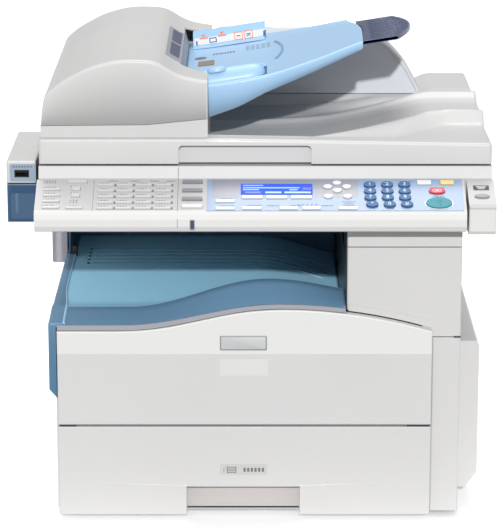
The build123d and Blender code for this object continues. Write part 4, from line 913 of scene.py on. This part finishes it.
    def build_grip(self, x: np.ndarray) -> None:
        """The domed finger piece on the front guide, and the ledge that runs beside it along x."""
        turn = np.linspace(0, 2 * math.pi, 25)[:-1]
        grip = Shape()
        rows = []
        for share in np.linspace(0, 1, 12):
            z = 12.4 + 5.0 * math.sin(share * math.pi / 2)
            size = math.sqrt(max(1 - share**2, 0.0)) if share < 1 else 0.02
            round_x = -33.0 + 10.0 * size * np.cos(turn)
            round_y = -111.5 + 6.0 * size * np.sin(turn)
            rows.append(np.column_stack([round_x, round_y, self.guide_line(round_x, z - 1.5)]))
        grip.grid(np.array(rows), ring=True, caps=True)
        fade = np.sqrt(np.clip(1 - ((x + 22.0) / 38.6).clip(-1, 1) ** 6, 0.05, 1))
        inner_y, foot = -103.8, 1.0
        profile = ((inner_y, foot), (inner_y, 12.2), (-105.5, 13.2), (-108.0, 13.3), (-112.0, 12.0),
                   (-117.5, 7.6), (-120.5, 2.5), (-120.5, foot))
        grip.beam([
            np.column_stack(
                [x, inner_y + (y - inner_y) * fade, self.guide_line(x, foot + (lift - foot) * fade)]
            )
            for y, lift in profile])
        grip.finish("front_guide_grip", FEED, "front_guide", "feed_blue")

    def build_guide_marks(self) -> None:
        """Warning marks and icons printed on the rear guide's label."""
        marks = Shape()
        slope = math.atan2(9.0, 58.0)
        guide = Face(
            (-41.5, 103.55, 434.9), (math.cos(slope), 0.0, math.sin(slope)),
            (-math.sin(slope), 0.0, math.cos(slope))
        )
        printed = (0.0, 0.12)
        for place in (-7.0, 13.0):
            marks.bar((9.5, 1.6, 0.4), guide, *printed, (place, 8.6))
            marks.plate(np.array([(-2.3, 1.7), (0.0, -1.7), (2.3, 1.7)]), guide, *printed, (place, 11.0))
        for place in (30.5, 41.5):
            marks.hoop(
                rounded_box_outline(8.0, 7.2, 1.2), rounded_box_outline(9.6, 8.8, 1.8), guide, *printed,
                (place, 5.6)
            )
        marks.finish("rear_guide_marks", ORANGE, "rear_guide", "key_red")
        icon = Shape()
        strokes = ((2.5, 7.5, 1.0, 3.0), (2.5, 7.5, 1.0, 7.4), (-1.0, 1.0, 5.0, 5.2), (6.0, 1.0, 5.0, 5.2),
                   (-15.5, 1.6, 5.0, 4.2), (30.5, 4.6, 1.0, 5.6), (41.5, 4.6, 1.0, 6.4),
                   (41.5, 4.6, 1.0, 4.6))
        for place, width, height, at in strokes:
            icon.bar((width, height, 0.3), guide, *printed, (place, at))
        icon.finish("rear_guide_icons", KEY_NAVY, "rear_guide", "key_navy")

    def build_extension_trims(self) -> None:
        """Fine lengthwise ribs on the extension and its thick pale rim at the front and end."""
        tilt = math.radians(9.0)
        sheet = Face((111.0, 0.0, 467.6), (math.cos(tilt), 0.0, math.sin(tilt)), (0.0, 1.0, 0.0))
        ribs = Shape()
        for y in np.arange(-54.0, 55.0, 9.0):
            end = 57.0 - 16.0 * (y / 62.0) ** 2
            ribs.bar((end - 16.0, 0.9, 0.4), sheet, -0.05, 0.35, ((end + 12.0) / 2, y), 0.15)
        ribs.finish("extension_ribs", NAVY, "feed_tray_extension", "navy_clear")
        y = np.linspace(-62.0, 62.0, 41)
        path = np.concatenate([
            np.column_stack([np.linspace(4.0, 40.0, 10), np.full(10, -62.0)]),
            np.column_stack([57.0 - 16.0 * (y / 62.0) ** 2, y]),
            np.column_stack([np.linspace(40.0, 4.0, 10), np.full(10, 62.0)]),
        ])
        step = np.gradient(path, axis=0)
        step /= np.linalg.norm(step, axis=1)[:, None]
        inward = np.column_stack([-step[:, 1], step[:, 0]])
        profile = [(0.0, -3.6), (0.0, -0.3), (0.5, 0.06), (1.7, 0.06), (2.2, -0.3), (2.2, -3.2), (1.7, -3.6)]
        section = [sheet.place(np.column_stack([path + inward * inset, np.full(len(path), lift)]))
                   for inset, lift in profile]
        Shape().beam(section).finish(
            "extension_rim", NAVY_RIM, "feed_tray_extension", "navy_clear")


@dataclass
class DriveHousing:
    """The grey housing behind the tray, arched down to the lid at its right."""

    left: float = -40.5
    right: float = 185.0
    base: float = 383.0
    front: float = 97.0
    back: float = 184.0
    split: float = 127.0
    rear_fall: float = 0.19

    def line(self, x: np.ndarray, high: bool) -> np.ndarray:
        """Height of the top line, low in front and high behind."""
        shoulder = [
            (110.0, 448.2), (125, 446.9), (138, 444.0), (149, 437.3), (159, 427.5), (170, 414.0),
            (178, 400.0), (183, 390.0), (185, 384.0)
        ]
        if high:
            return through([(-40.5, 447.6), (-30.5, 451.6), (40.0, 451.0), (90.0, 449.9)] + shoulder, x)
        return through([(-40.5, 425.0), (16.5, 433.0), (62.5, 444.0), (95.0, 447.6)] + shoulder, x)

    def build(self) -> None:
        """Carries the top line from front to back, with rounded ends, and adds a light rim piece."""
        x = np.unique(np.concatenate([np.linspace(self.left, 110, 40), np.linspace(110, self.right, 50)]))
        turn = np.linspace(0, math.pi / 2, 6)
        rows: list[tuple[float, float, float]] = [(self.front, 0.0, 900.0)]
        rows += [(self.front + 4.0 * (1 - math.cos(t)), 0.0, 4.0 * (1 - math.sin(t))) for t in turn]
        rows += [
            (110.0, 0.0, 0.0), (self.split - 4.0, 0.0, 0.0), (self.split - 1.0, 0.2, 0.0),
            (self.split + 1.0, 0.8, 0.0), (self.split + 4.0, 1.0, 0.0), (160.0, 1.0, 0.0)
        ]
        rows += [(self.back - 5.0 * (1 - math.cos(t)), 1.0, 5.0 * (1 - math.sin(t))) for t in turn[::-1]]
        rows += [(self.back, 1.0, 900.0)]
        sections = []
        for y, share, drop in rows:
            top = (1 - share) * self.line(x, False) + share * self.line(x, True)
            z = np.maximum(top - drop - self.rear_fall * max(y - self.split, 0.0), self.base)
            sections.append(np.column_stack([
                np.concatenate([[self.left], x, [self.right]]), np.full(len(x) + 2, y),
                np.concatenate([[self.base], z, [self.base]])]))
        Shape().grid(np.array(sections), ring=True, caps=False).finish(
            "drive_housing_shell", HUMP, "lid", "shell_grey", ("feeder_drive_housing",), crease=50)
        edge = np.linspace(96.0, 184.4, 70)
        low, swing = self.line(edge, False), 0.6 * ease(edge, 130, 175)
        profile = ((0.0, 0.2), (0.0, -0.8), (-1.0, -1.4), (-2.6, -1.4), (-3.6, -0.8), (-3.6, 0.2))
        rim = [
            np.column_stack([edge + inset * swing, np.full_like(edge, self.front + ahead),
                             np.maximum(low + inset * 0.9 - 1.5, self.base)])
            for inset, ahead in profile]
        Shape().beam(rim).finish(
            "drive_housing_rim", SHELL, "lid", "shell_white")


@dataclass
class OutputTray:
    """The blue tray in the bay: a swept lip, a crest and a floor that falls towards the exit."""

    left: float = -198.5
    right: float = 96.0
    lip_y: float = -198.0
    crest_y: float = -150.0
    floor_y: float = -122.0
    back_y: float = 167.0
    top: float = 299.5

    def lip(self, x: np.ndarray) -> np.ndarray:
        """Height of the front edge."""
        return door_edge(x) + 7.0 - 0.9 * ease(x, CREST_X - RISE, CREST_X)

    def crest(self, x: np.ndarray) -> np.ndarray:
        """Height of the crest."""
        rise = 29.5 * ease(x, CREST_X - 152.0, CREST_X - 10.0)
        return 210.8 + rise - 15.5 * ease(x, CREST_X - 10.0, CREST_X + 110.0)

    def floor(self, x: np.ndarray) -> np.ndarray:
        """Height of the floor."""
        return 206.0 - 22.0 * ease(x, CREST_X - 24.0, CREST_X + 88.0)

    def build(self) -> None:
        """Builds the tray's surface, its ribs, its walls and its skirt."""
        x = np.linspace(self.left, self.right, 90)
        y = np.unique(
            np.concatenate(
                [
                    np.linspace(self.lip_y, self.floor_y + 12, 46),
                    np.linspace(self.floor_y + 12, self.back_y, 30)
                ]
            )
        )
        knots = np.array(
            [
                self.lip_y, -176.0, self.crest_y - 5, self.crest_y + 5, self.floor_y, self.floor_y + 14,
                30.0, self.back_y
            ]
        )
        lip, crest, low = self.lip(x), self.crest(x), self.floor(x)
        climb = lip + (crest - lip) * 0.56
        heights = np.array([lip, climb, crest - 0.25, crest - 0.6, low + 0.12 * (crest - low), low, low, low])
        surface = np.array([
            np.column_stack(
                [np.full_like(y, x[i]), y, monotone_cubic(knots, heights[:, i], y)]
            ) for i in range(len(x))
        ])
        turned = surface[:, :1].copy()
        turned[:, :, 2] -= 0.5
        Shape().grid(np.concatenate([turned, surface], axis=1)).finish(
            "output_tray_surface", TRAY, "machine", "tray_blue", ("output_tray",), wall=2.2, crease=60)
        self.build_band()
        self.build_ribs()
        self.build_walls()

    def build_band(self) -> None:
        """The grey band between the door's top edge and the tray's lip, cut square at its right."""
        x = np.linspace(FRONT_LEFT + 0.5, self.right, 100)
        low, high = door_edge(x) + 0.7, self.lip(x) - 0.6
        profile = [
            (-191.5, 0.0), (-198.9, 0.0), (-199.5, 0.08), (-199.5, 0.92), (-198.9, 1.0), (-198.2, 1.0),
            (-198.2, 0.6), (-191.5, 0.6)
        ]
        section = [
            np.column_stack([x, np.full_like(x, y), low + (high - low) * share]) for y, share in profile
        ]
        Shape().beam(section).finish(
            "front_band", BAND, "machine", "band_grey", ("front_trim",), crease=40)

    def build_ribs(self) -> None:
        """Five thin ribs across the back of the floor, with tapered ends, and their end stops; the ribs'
        darker blue is painted shade.
        """
        ribs, stops = Shape(), Shape()
        along = np.linspace(-172.5, 81.5, 60)
        profile = ((-1.4, -0.3), (-1.1, 0.7), (-0.4, 1.1), (0.4, 1.1), (1.1, 0.7), (1.4, -0.3))
        fade = np.clip(np.minimum(along - along[0], along[-1] - along) / 2.5, 0.15, 1.0)
        for y in np.linspace(40.0, 99.0, 5):
            ribs.beam([
                np.column_stack(
                    [along, y + across * fade, self.floor(along) + np.where(lift > 0, lift * fade, lift)]
                )
                for across, lift in profile])
            stops.box((-176.5, -173.5), (y - 1.5, y + 1.5), (205.5, 207.4), 0.8)
        ribs.finish("output_tray_ribs_painted_shade", RIB_PAINTED_SHADE, "machine", "tray_blue")
        stops.finish("output_tray_rib_stops", KEY_NAVY, "machine", "key_navy")

    def build_walls(self) -> None:
        """The back wall and the left wall at the rear, painted dark as shade, the left rim and its bead,
        painted light as a highlight, the skirt and the stop.
        """
        walls = Shape()
        walls.box((self.left, self.right), (164.5, 167.0), (183.0, self.top), 0.8)
        walls.box((self.left, self.left + 2.5), (78.0, 166.0), (204.0, self.top), 0.8)
        # Dark navy here is painted shade on the tray's blue moulding.
        walls.finish("output_tray_walls_painted_shade", WALL_PAINTED_SHADE, "machine", "tray_blue")
        y = np.concatenate([np.linspace(-197.5, -150.0, 20), np.linspace(-140.0, 74.0, 20)])
        path = np.interp(y, [-197.5, -150.0, -122.0, 74.0], [206.2, 210.6, 207.4, 206.8])
        inner = -191.0 + 5.5 * ease(-y, 60.0, 152.0)
        rim = ((-1.0, -4.0), (-1.0, 0.2), (-0.92, 1.0), (-0.8, 1.3), (-0.2, 1.3), (-0.04, 1.1), (0.0, 0.5),
               (0.0, -1.5))
        bead = ((-0.1, 0.9), (-0.1, 1.6), (-0.06, 2.0), (0.0, 2.0), (0.04, 1.6), (0.06, -0.6))
        # The bead's lighter blue is a painted highlight on the rim's inner edge.
        for name, finish, profile in (("output_tray_rim", SILL, rim), ("output_tray_bead_painted_highlight", BEAD_PAINTED_HIGHLIGHT, bead)):
            section = [
                np.column_stack([inner + (inner + 201.0) * share, y, path + lift]) for share,
                lift in profile
            ]
            Shape().beam(section).finish(name, finish, "machine", "tray_blue")
        outline = np.array([(-201.4, 206.4), (-201.4, 138.0), (-193.7, 129.0), (-193.7, 206.4)])
        Shape().plate(outline, front_face(self.lip_y), self.lip_y - self.back_y, 0.0, crown=1.0).finish(
            "output_tray_skirt", SKIRT, "machine", "tray_blue")
        Shape().box((-194.0, -189.0), (71.0, 78.0), (206.5, 218.0), 1.0).finish(
            "output_tray_stop", BLACK, "machine", "black_plastic")


@dataclass
class Front:
    """Trims on the door, the drawer, the column and the right side."""

    def build(self) -> None:
        """Builds the badge, the labels and every other trim."""
        door = front_face(DOOR_Y)
        badge_at = (-6.1, 187.5)
        printed = (0.3, 0.36)
        badge = Shape().bar((47.0, 15.0, 1.0), door, -0.1, 0.9, badge_at, 0.5)
        badge.finish("door_badge", SILVER, "front_door", "steel")
        frame_line = Shape().bar((44.6, 12.6, 0.8), door, 0.7, 0.98, badge_at, 0.1)
        frame_line.finish("door_badge_face", BADGE_FACE, "front_door", "steel")
        label = Shape().bar((48.0, 17.4, 1.0), door, -0.1, 0.22, (-5.6, 162.0))
        label.finish("door_label", LABEL_FILM, "front_door", "shell_white")
        tag = Shape().bar((47.5, 11.2, 1.0), door, -0.1, 0.3, (-6.1, 53.6))
        tag.finish("drawer_label", LABEL_PALE, "drawer", "shell_white")
        figures = Shape().lettering("1", 6.2, door, 0.3, (-26.0, 53.6))
        for row in range(4):
            figures.bar((8.0, 0.8, 0.3), door, *printed, (-18.2, 50.6 + 1.9 * row))
        for x in (-22.6, -13.8):
            figures.bar((0.8, 7.4, 0.3), door, *printed, (x, 53.6))
        for column in range(6):
            figures.bar((2.4, 4.4, 0.6), door, *printed, (-5.0 + 3.7 * column, 53.6))
        figures.finish("drawer_label_figures", INK, "drawer", "black_plastic")
        self.build_crease(door)
        self.build_column_foot()
        self.build_lugs()
        self.build_side()

    def build_crease(self, door: Face) -> None:
        """Two shallow ridges that run outwards from the grip along the drawer's lower face."""
        ridges = Shape()
        profile = ((-0.7, 0.0), (-0.2, 0.35), (0.2, 0.35), (0.7, 0.0), (0.0, -0.3))
        for inner, outer in ((-64.0, -176.0), (51.0, 165.0)):
            x = np.linspace(inner, outer, 20)
            z = np.linspace(36.2, 39.5, 20)
            fade = np.clip((outer - x) / (outer - inner), 0.03, 1.0)
            ridges.beam(
                [door.place(np.column_stack([x, z + lift, 0.02 + high * fade])) for lift, high in profile]
            )
        ridges.finish("drawer_creases", SHELL, "drawer", "shell_white")

    def build_column_foot(self) -> None:
        """The column's foot: a narrow strip that follows the door's top edge just behind it."""
        x = np.linspace(99.0, 182.5, 50)
        low = door_edge(x) + 0.9
        profile = ((-186.0, 0.0), (-190.4, 0.0), (-190.8, 0.5), (-190.8, 7.0), (-186.0, 7.0))
        section = [np.column_stack([x, np.full_like(x, y), low + lift]) for y, lift in profile]
        Shape().beam(section).finish(
            "column_foot", SHELL, "machine", "shell_white")

    def build_lugs(self) -> None:
        """Black hinge lugs in the seam between door and drawer, and the tab in the side cover's seam."""
        lugs = Shape()
        for x in ((-191.5, -175.0), (159.0, 181.5)):
            lugs.box(x, (-199.0, -186.5), (99.5, 100.9), 0.4)
        lugs.finish("door_hinge_lugs", BLACK, "machine", "black_plastic")
        catch = Shape().box((205.0, 211.8), (-190.4, -184.0), (190.2, 191.9), 0.4)
        catch.finish("side_cover_tab", BLACK, "machine", "black_plastic")

    def build_side(self) -> None:
        """The bypass tray's raised inner panel, finger pull and dark catch."""
        right = Face((236.0, 0.0, 0.0), (0.0, 1.0, 0.0), (0.0, 0.0, 1.0))
        panel = Shape().bar((262.0, 112.0, 8.0), right, -0.4, 0.0, (5.0, 98.0), 0.3)
        panel.finish("bypass_panel", PANEL_RAISED, "bypass_tray", "shell_white")
        pull = Shape().bar((70.0, 12.0, 5.5), right, -0.3, 0.12, (5.0, 146.0), 0.1)
        pull.finish("bypass_pull", GREY, "bypass_tray", "shell_grey")
        catch = Shape().box((212.6, 216.5), (118.0, 132.0), (173.0, 178.0), 1.0)
        catch.finish("bypass_catch", BLACK, "machine", "black_plastic")


@dataclass
class KeyPanel:
    """Print, display and trims of the sloping key panel, and the two side units."""

    left: float = -211.0
    right: float = 213.0
    back_y: float = -177.0
    back_z: float = 350.0
    angle: float = 25.5
    keypad_x: float = 119.0
    lcd_left: float = -8.5
    key_rows: tuple[float, ...] = (10.0, 20.2, 30.3, 40.8)
    memory_columns: tuple[float, ...] = (69.1, 87.5, 106.4, 125.7)
    memory_rows: tuple[float, ...] = (9.3, 18.5, 27.6, 36.7, 45.6)
    key_mark: tuple[float, float] = (2.2, 2.3)
    shown: tuple[float, float] = (0.94, 1.0)
    seam: tuple[float, float] = (0.0, 0.04)

    def slope(self) -> Face:
        """The panel's sloping plane, its origin at the back edge."""
        a = math.radians(self.angle)
        return Face((0.0, self.back_y, self.back_z), (1.0, 0.0, 0.0), (0.0, math.cos(a), math.sin(a)))

    def build(self) -> None:
        """Builds the panel's trims."""
        slope = self.slope()
        self.build_figures(slope)
        self.build_display(slope)
        self.build_print(slope)
        self.build_lines(slope)
        self.build_units()

    def build_figures(self, slope: Face) -> None:
        """White numerals on the number keys and marks on the start and stop keys."""
        figures = Shape()
        for index, text in enumerate("123456789*0#"):
            row, column = divmod(index, 3)
            spot = (self.keypad_x + 17.1 * column + 1.5 * (row == 3), -self.key_rows[row])
            figures.lettering(text, 6.4, slope, 2.6, spot)
        figures.finish("number_key_figures", KEY_WHITE, "number_keys", "key_white")
        start = (self.right - 26.8, -38.6)
        mark = Shape().hoop(
            oval_outline(3.6, 3.6), oval_outline(4.8, 4.8), slope, *self.key_mark, (start[0], start[1] + 1.5))
        mark.bar((0.6, 2.2, 0.2), slope, *self.key_mark, (start[0], start[1] + 2.4))
        mark.bar((1.6, 2.6, 0.4), slope, *self.key_mark, (start[0] + 1.0, start[1] - 4.2))
        mark.finish("start_key_mark", KEY_NAVY, "start_key", "key_navy")
        ring = Shape().hoop(oval_outline(26.2, 17.0), oval_outline(28.6, 19.0), slope, 0.62, 1.0, start)
        ring.finish("start_key_ring", KEY_WHITE, "machine", "key_white")
        stop = Shape()
        at = (self.right - 27.9, -19.8)
        for shift in (-2.6, 2.6):
            stop.hoop(
                oval_outline(2.6, 3.0), oval_outline(3.8, 4.2), slope, *self.key_mark,
                (at[0] + shift, at[1])
            )
        stop.bar((0.6, 5.0, 0.2), slope, *self.key_mark, at)
        stop.finish("stop_key_mark", KEY_WHITE, "stop_key", "key_white")

    def build_display(self, slope: Face) -> None:
        """Lighter lines and blocks shown on the display."""
        lines = Shape()
        x0 = self.lcd_left
        blocks = ((2.0, 22.0, 10.6, 1.4), (2.0, 58.0, 14.3, 1.7), (2.0, 18.0, 17.2, 1.5),
                  (24.0, 40.0, 21.5, 2.6), (43.0, 69.0, 21.5, 2.6), (48.0, 56.0, 17.4, 1.6))
        for low, high, down, tall in blocks:
            lines.bar((high - low, tall, 0.3), slope, *self.shown, (x0 + (low + high) / 2, -down))
        lines.finish("display_lines", LCD_LINE, "machine", "lcd_blue")
        dark = Shape().bar((8.6, 4.6, 0.3), slope, *self.shown, (x0 + 65.0, -15.2))
        dark.bar((16.0, 2.6, 0.3), slope, *self.shown, (x0 + 12.0, -21.5))
        dark.finish("display_blocks", LCD_DARK, "machine", "lcd_blue")

    def caption(
        self, shape: Shape, x: float, down: float, width: float, height: float, tall: float = 1.5
    ) -> None:
        """Adds a row of short bars, like a line of small type.

        Args:
            shape: Where they go.
            x: Middle of the row, mm.
            down: Distance below the slope's back edge, mm.
            width: Length of the row, mm.
            height: Height of their underside above the slope, mm.
            tall: Size of each bar down the slope, mm.
        """
        count = max(1, int(width / 2.4))
        for step in range(count):
            wide = 1.7 if step % 3 else 1.2
            shape.bar((wide, tall, 0.2), self.slope(), height, height + 0.05,
                      (x - width / 2 + (step + 0.5) * width / count, -down))

    def build_print(self, slope: Face) -> None:
        """Small printed bars that stand where captions would be, on the label and on the plain panel."""
        ink = Shape()
        on_label, on_case = 0.65, 0.0
        label_rows = (
            (4.0, 41.6, 16.0), (-22.4, 31.2, 12.0), (-22.4, 42.6, 15.0), (23.0, 42.0, 12.0),
            (45.0, 42.0, 12.0), (76.0, 42.0, 12.0), (97.5, 36.0, 14.0), (97.5, 39.0, 10.0), (97.5, 42.0, 12.0),
            (185.5, 14.2, 15.0), (186.0, 27.6, 12.0), (155.0, 4.0, 13.0), (138.0, 46.8, 8.0))
        for x, down, width in label_rows:
            self.caption(ink, x, down, width, on_label)
        for column in self.memory_columns:
            for down in self.memory_rows:
                self.caption(ink, self.left + column - 2.0, down - 3.6, 11.0, on_case, 1.1)
        for column in (76.0, 97.0, 117.0, 133.0):
            self.caption(ink, self.left + column, 2.6, 10.0, on_case, 1.2)
        for down in (2.6, 5.4, 12.4, 21.6, 30.8, 40.6):
            self.caption(ink, self.left + 13.0, down, 13.0, on_case, 1.1)
        for down in (11.0, 21.0, 33.0, 36.0, 41.5):
            self.caption(ink, self.left + 38.0, down, 9.0, on_case, 1.1)
        ink.finish("panel_print", INK_SOFT, "machine", "key_grey")
        dots = Shape()
        for column in self.memory_columns:
            for down in self.memory_rows:
                dots.bar((1.3, 3.2, 0.5), slope, 0.0, 0.7, (self.left + column + 9.2, -down), 0.2)
        dots.finish("memory_key_lamps", INK, "machine", "black_plastic")
        lamps = Shape()
        for index in range(5):
            lamps.plate(oval_outline(1.5, 1.5, 16), slope, 0.65, 0.85, (48.0 + 4.4 * index, -40.6))
        lamps.finish("density_lamps", KEY_NAVY, "machine", "key_navy")

    def build_lines(self, slope: Face) -> None:
        """Seams between the panel's moulded parts, the level window and its frame."""
        seams = Shape()
        seams.bar((0.5, 49.4, 0.2), slope, *self.seam, (-70.6, -24.8))
        seams.bar((0.35, 49.4, 0.15), slope, *self.seam, (-154.0, -24.8))
        front = front_face(-225.0)
        seams.bar((0.5, 9.0, 0.2), front, *self.seam, (-70.6, 317.0))
        seams.bar((0.5, 11.6, 0.2), front_face(-176.5), *self.seam, (-70.6, 356.4))
        seams.finish("panel_seams", SEAM, "machine", "black_plastic")
        window = Shape().bar((5.2, 10.5, 0.6), front, -0.6, 0.1, (-56.0, 315.6), 0.1)
        window.finish("level_window_frame", BAND, "machine", "band_grey")
        glass = Shape().bar((3.6, 8.6, 0.5), front, 0.0, 0.18, (-56.0, 315.6), 0.05)
        glass.finish("level_window", WINDOW_DARK, "machine", "black_plastic")

    def build_units(self) -> None:
        """Blue plate round the stick socket, the ribbed card cover, and the switch unit's label."""
        front = front_face(-165.0)
        plate = Shape()
        outer = rounded_box_outline(26.0, 17.6, 1.6) + (-226.0, 354.2)
        hole = rounded_box_outline(14.8, 7.9, 0.5) + (-227.1, 353.2)
        plate.hoop(hole, outer, front, 0.0, 0.5)
        plate.finish("socket_plate", PLATE_BLUE, "machine", "shell_grey")
        captions = Shape()
        for step in range(7):
            captions.bar((1.9, 1.7, 0.3), front, 0.5, 0.56, (-235.0 + 2.9 * step, 360.4))
        captions.finish("socket_plate_print", INK, "machine", "black_plastic")
        inset = Shape().bar((24.0, 26.0, 2.0), front, -0.3, 0.12, (-226.5, 320.0))
        inset.finish("card_cover_inset", CARD_INSET, "card_cover", "navy_clear")
        slot = Shape().bar((3.0, 20.0, 1.2), front, -0.2, 0.7, (-232.5, 323.0), 0.3)
        slot.finish("card_cover_pull", CLEAR_PULL, "card_cover", "navy_clear")
        bottom_y, top_y = -216.0, -177.5
        run = math.hypot(top_y - bottom_y, 15.5)
        tilt = Face((229.0, top_y, 349.5), (1.0, 0.0, 0.0), (0.0, (top_y - bottom_y) / run, 15.5 / run))
        label = Shape().bar((15.5, 7.6, 0.6), tilt, -0.05, 0.25, (0.0, -13.4))
        label.finish("switch_label", BLACK, "machine", "black_plastic")
        rows_of_print = Shape()
        for row in range(3):
            rows_of_print.bar((10.5 - 2.0 * row, 0.9, 0.2), tilt, 0.25, 0.3, (0.0, -11.4 - 1.9 * row))
        rows_of_print.finish("switch_label_print", KEY_WHITE, "machine", "key_white")


# ---------------------------------------------------------------- light and camera
@dataclass(frozen=True)
class Lamp:
    """A distant lamp: its strength, and its spread and its tilt from overhead in degrees."""

    name: str
    strength: float
    spread: float
    tilt: float


LAMPS = (Lamp("front_lamp", 3.1, 1.6, 66.3), Lamp("top_lamp", 1.8, 30.0, -20.0))
FLOOR_FRONT, FLOOR_SIZE = -0.26, 14.0
SURROUND = 0.45
CAMERA_AT = (0.0025, -2.7346, 0.9441)
CAMERA_DOWN = 0.2602
CAMERA_LENS, CAMERA_SENSOR = 180.2, 36.0


def build_studio() -> None:
    """A plain white floor, even white surroundings, one lamp from the front and one from above."""
    mesh = bpy.data.meshes.new("floor")
    grid = np.array([[(x, y, 0.0) for y in (FLOOR_FRONT, FLOOR_SIZE)] for x in (-FLOOR_SIZE, FLOOR_SIZE)])
    mesh.from_pydata(grid.reshape(-1, 3).tolist(), [], [(0, 2, 3, 1)])
    floor = bpy.data.objects.new("floor", mesh)
    bpy.context.scene.collection.objects.link(floor)
    mesh.materials.append(FLOOR_WHITE.make())
    world = bpy.data.worlds.new("studio")
    bpy.context.scene.world = world
    world.use_nodes = True
    background = world.node_tree.nodes["Background"]
    background.inputs["Color"].default_value = (1.0, 1.0, 1.0, 1.0)
    background.inputs["Strength"].default_value = SURROUND
    for lamp in LAMPS:
        light = bpy.data.lights.new(lamp.name, "SUN")
        light.energy, light.angle = lamp.strength, math.radians(lamp.spread)
        holder = bpy.data.objects.new(lamp.name, light)
        holder.rotation_euler = (math.radians(lamp.tilt), 0.0, 0.0)
        bpy.context.scene.collection.objects.link(holder)
    bpy.context.scene.view_settings.view_transform = "Standard"


def build_camera() -> None:
    """A long lens in front of the machine, a little above it."""
    lens = bpy.data.cameras.new("camera")
    lens.sensor_width, lens.lens = CAMERA_SENSOR, CAMERA_LENS
    lens.clip_end = 50.0
    camera = bpy.data.objects.new("camera", lens)
    camera.location = CAMERA_AT
    camera.rotation_euler = (math.pi / 2 - CAMERA_DOWN, 0.0, 0.0)
    bpy.context.scene.collection.objects.link(camera)
    bpy.context.scene.camera = camera


def main() -> None:
    """Builds the studio, then every sub-assembly."""
    logging.basicConfig(level=logging.INFO, format="%(message)s")
    build_camera()
    build_studio()
    dress_packed_nodes()
    for part in (Lid(), Feeder(), OutputTray(), Front(), KeyPanel()):
        log.info("building %s", type(part).__name__)
        part.build()


if __name__ == "__main__":
    main()
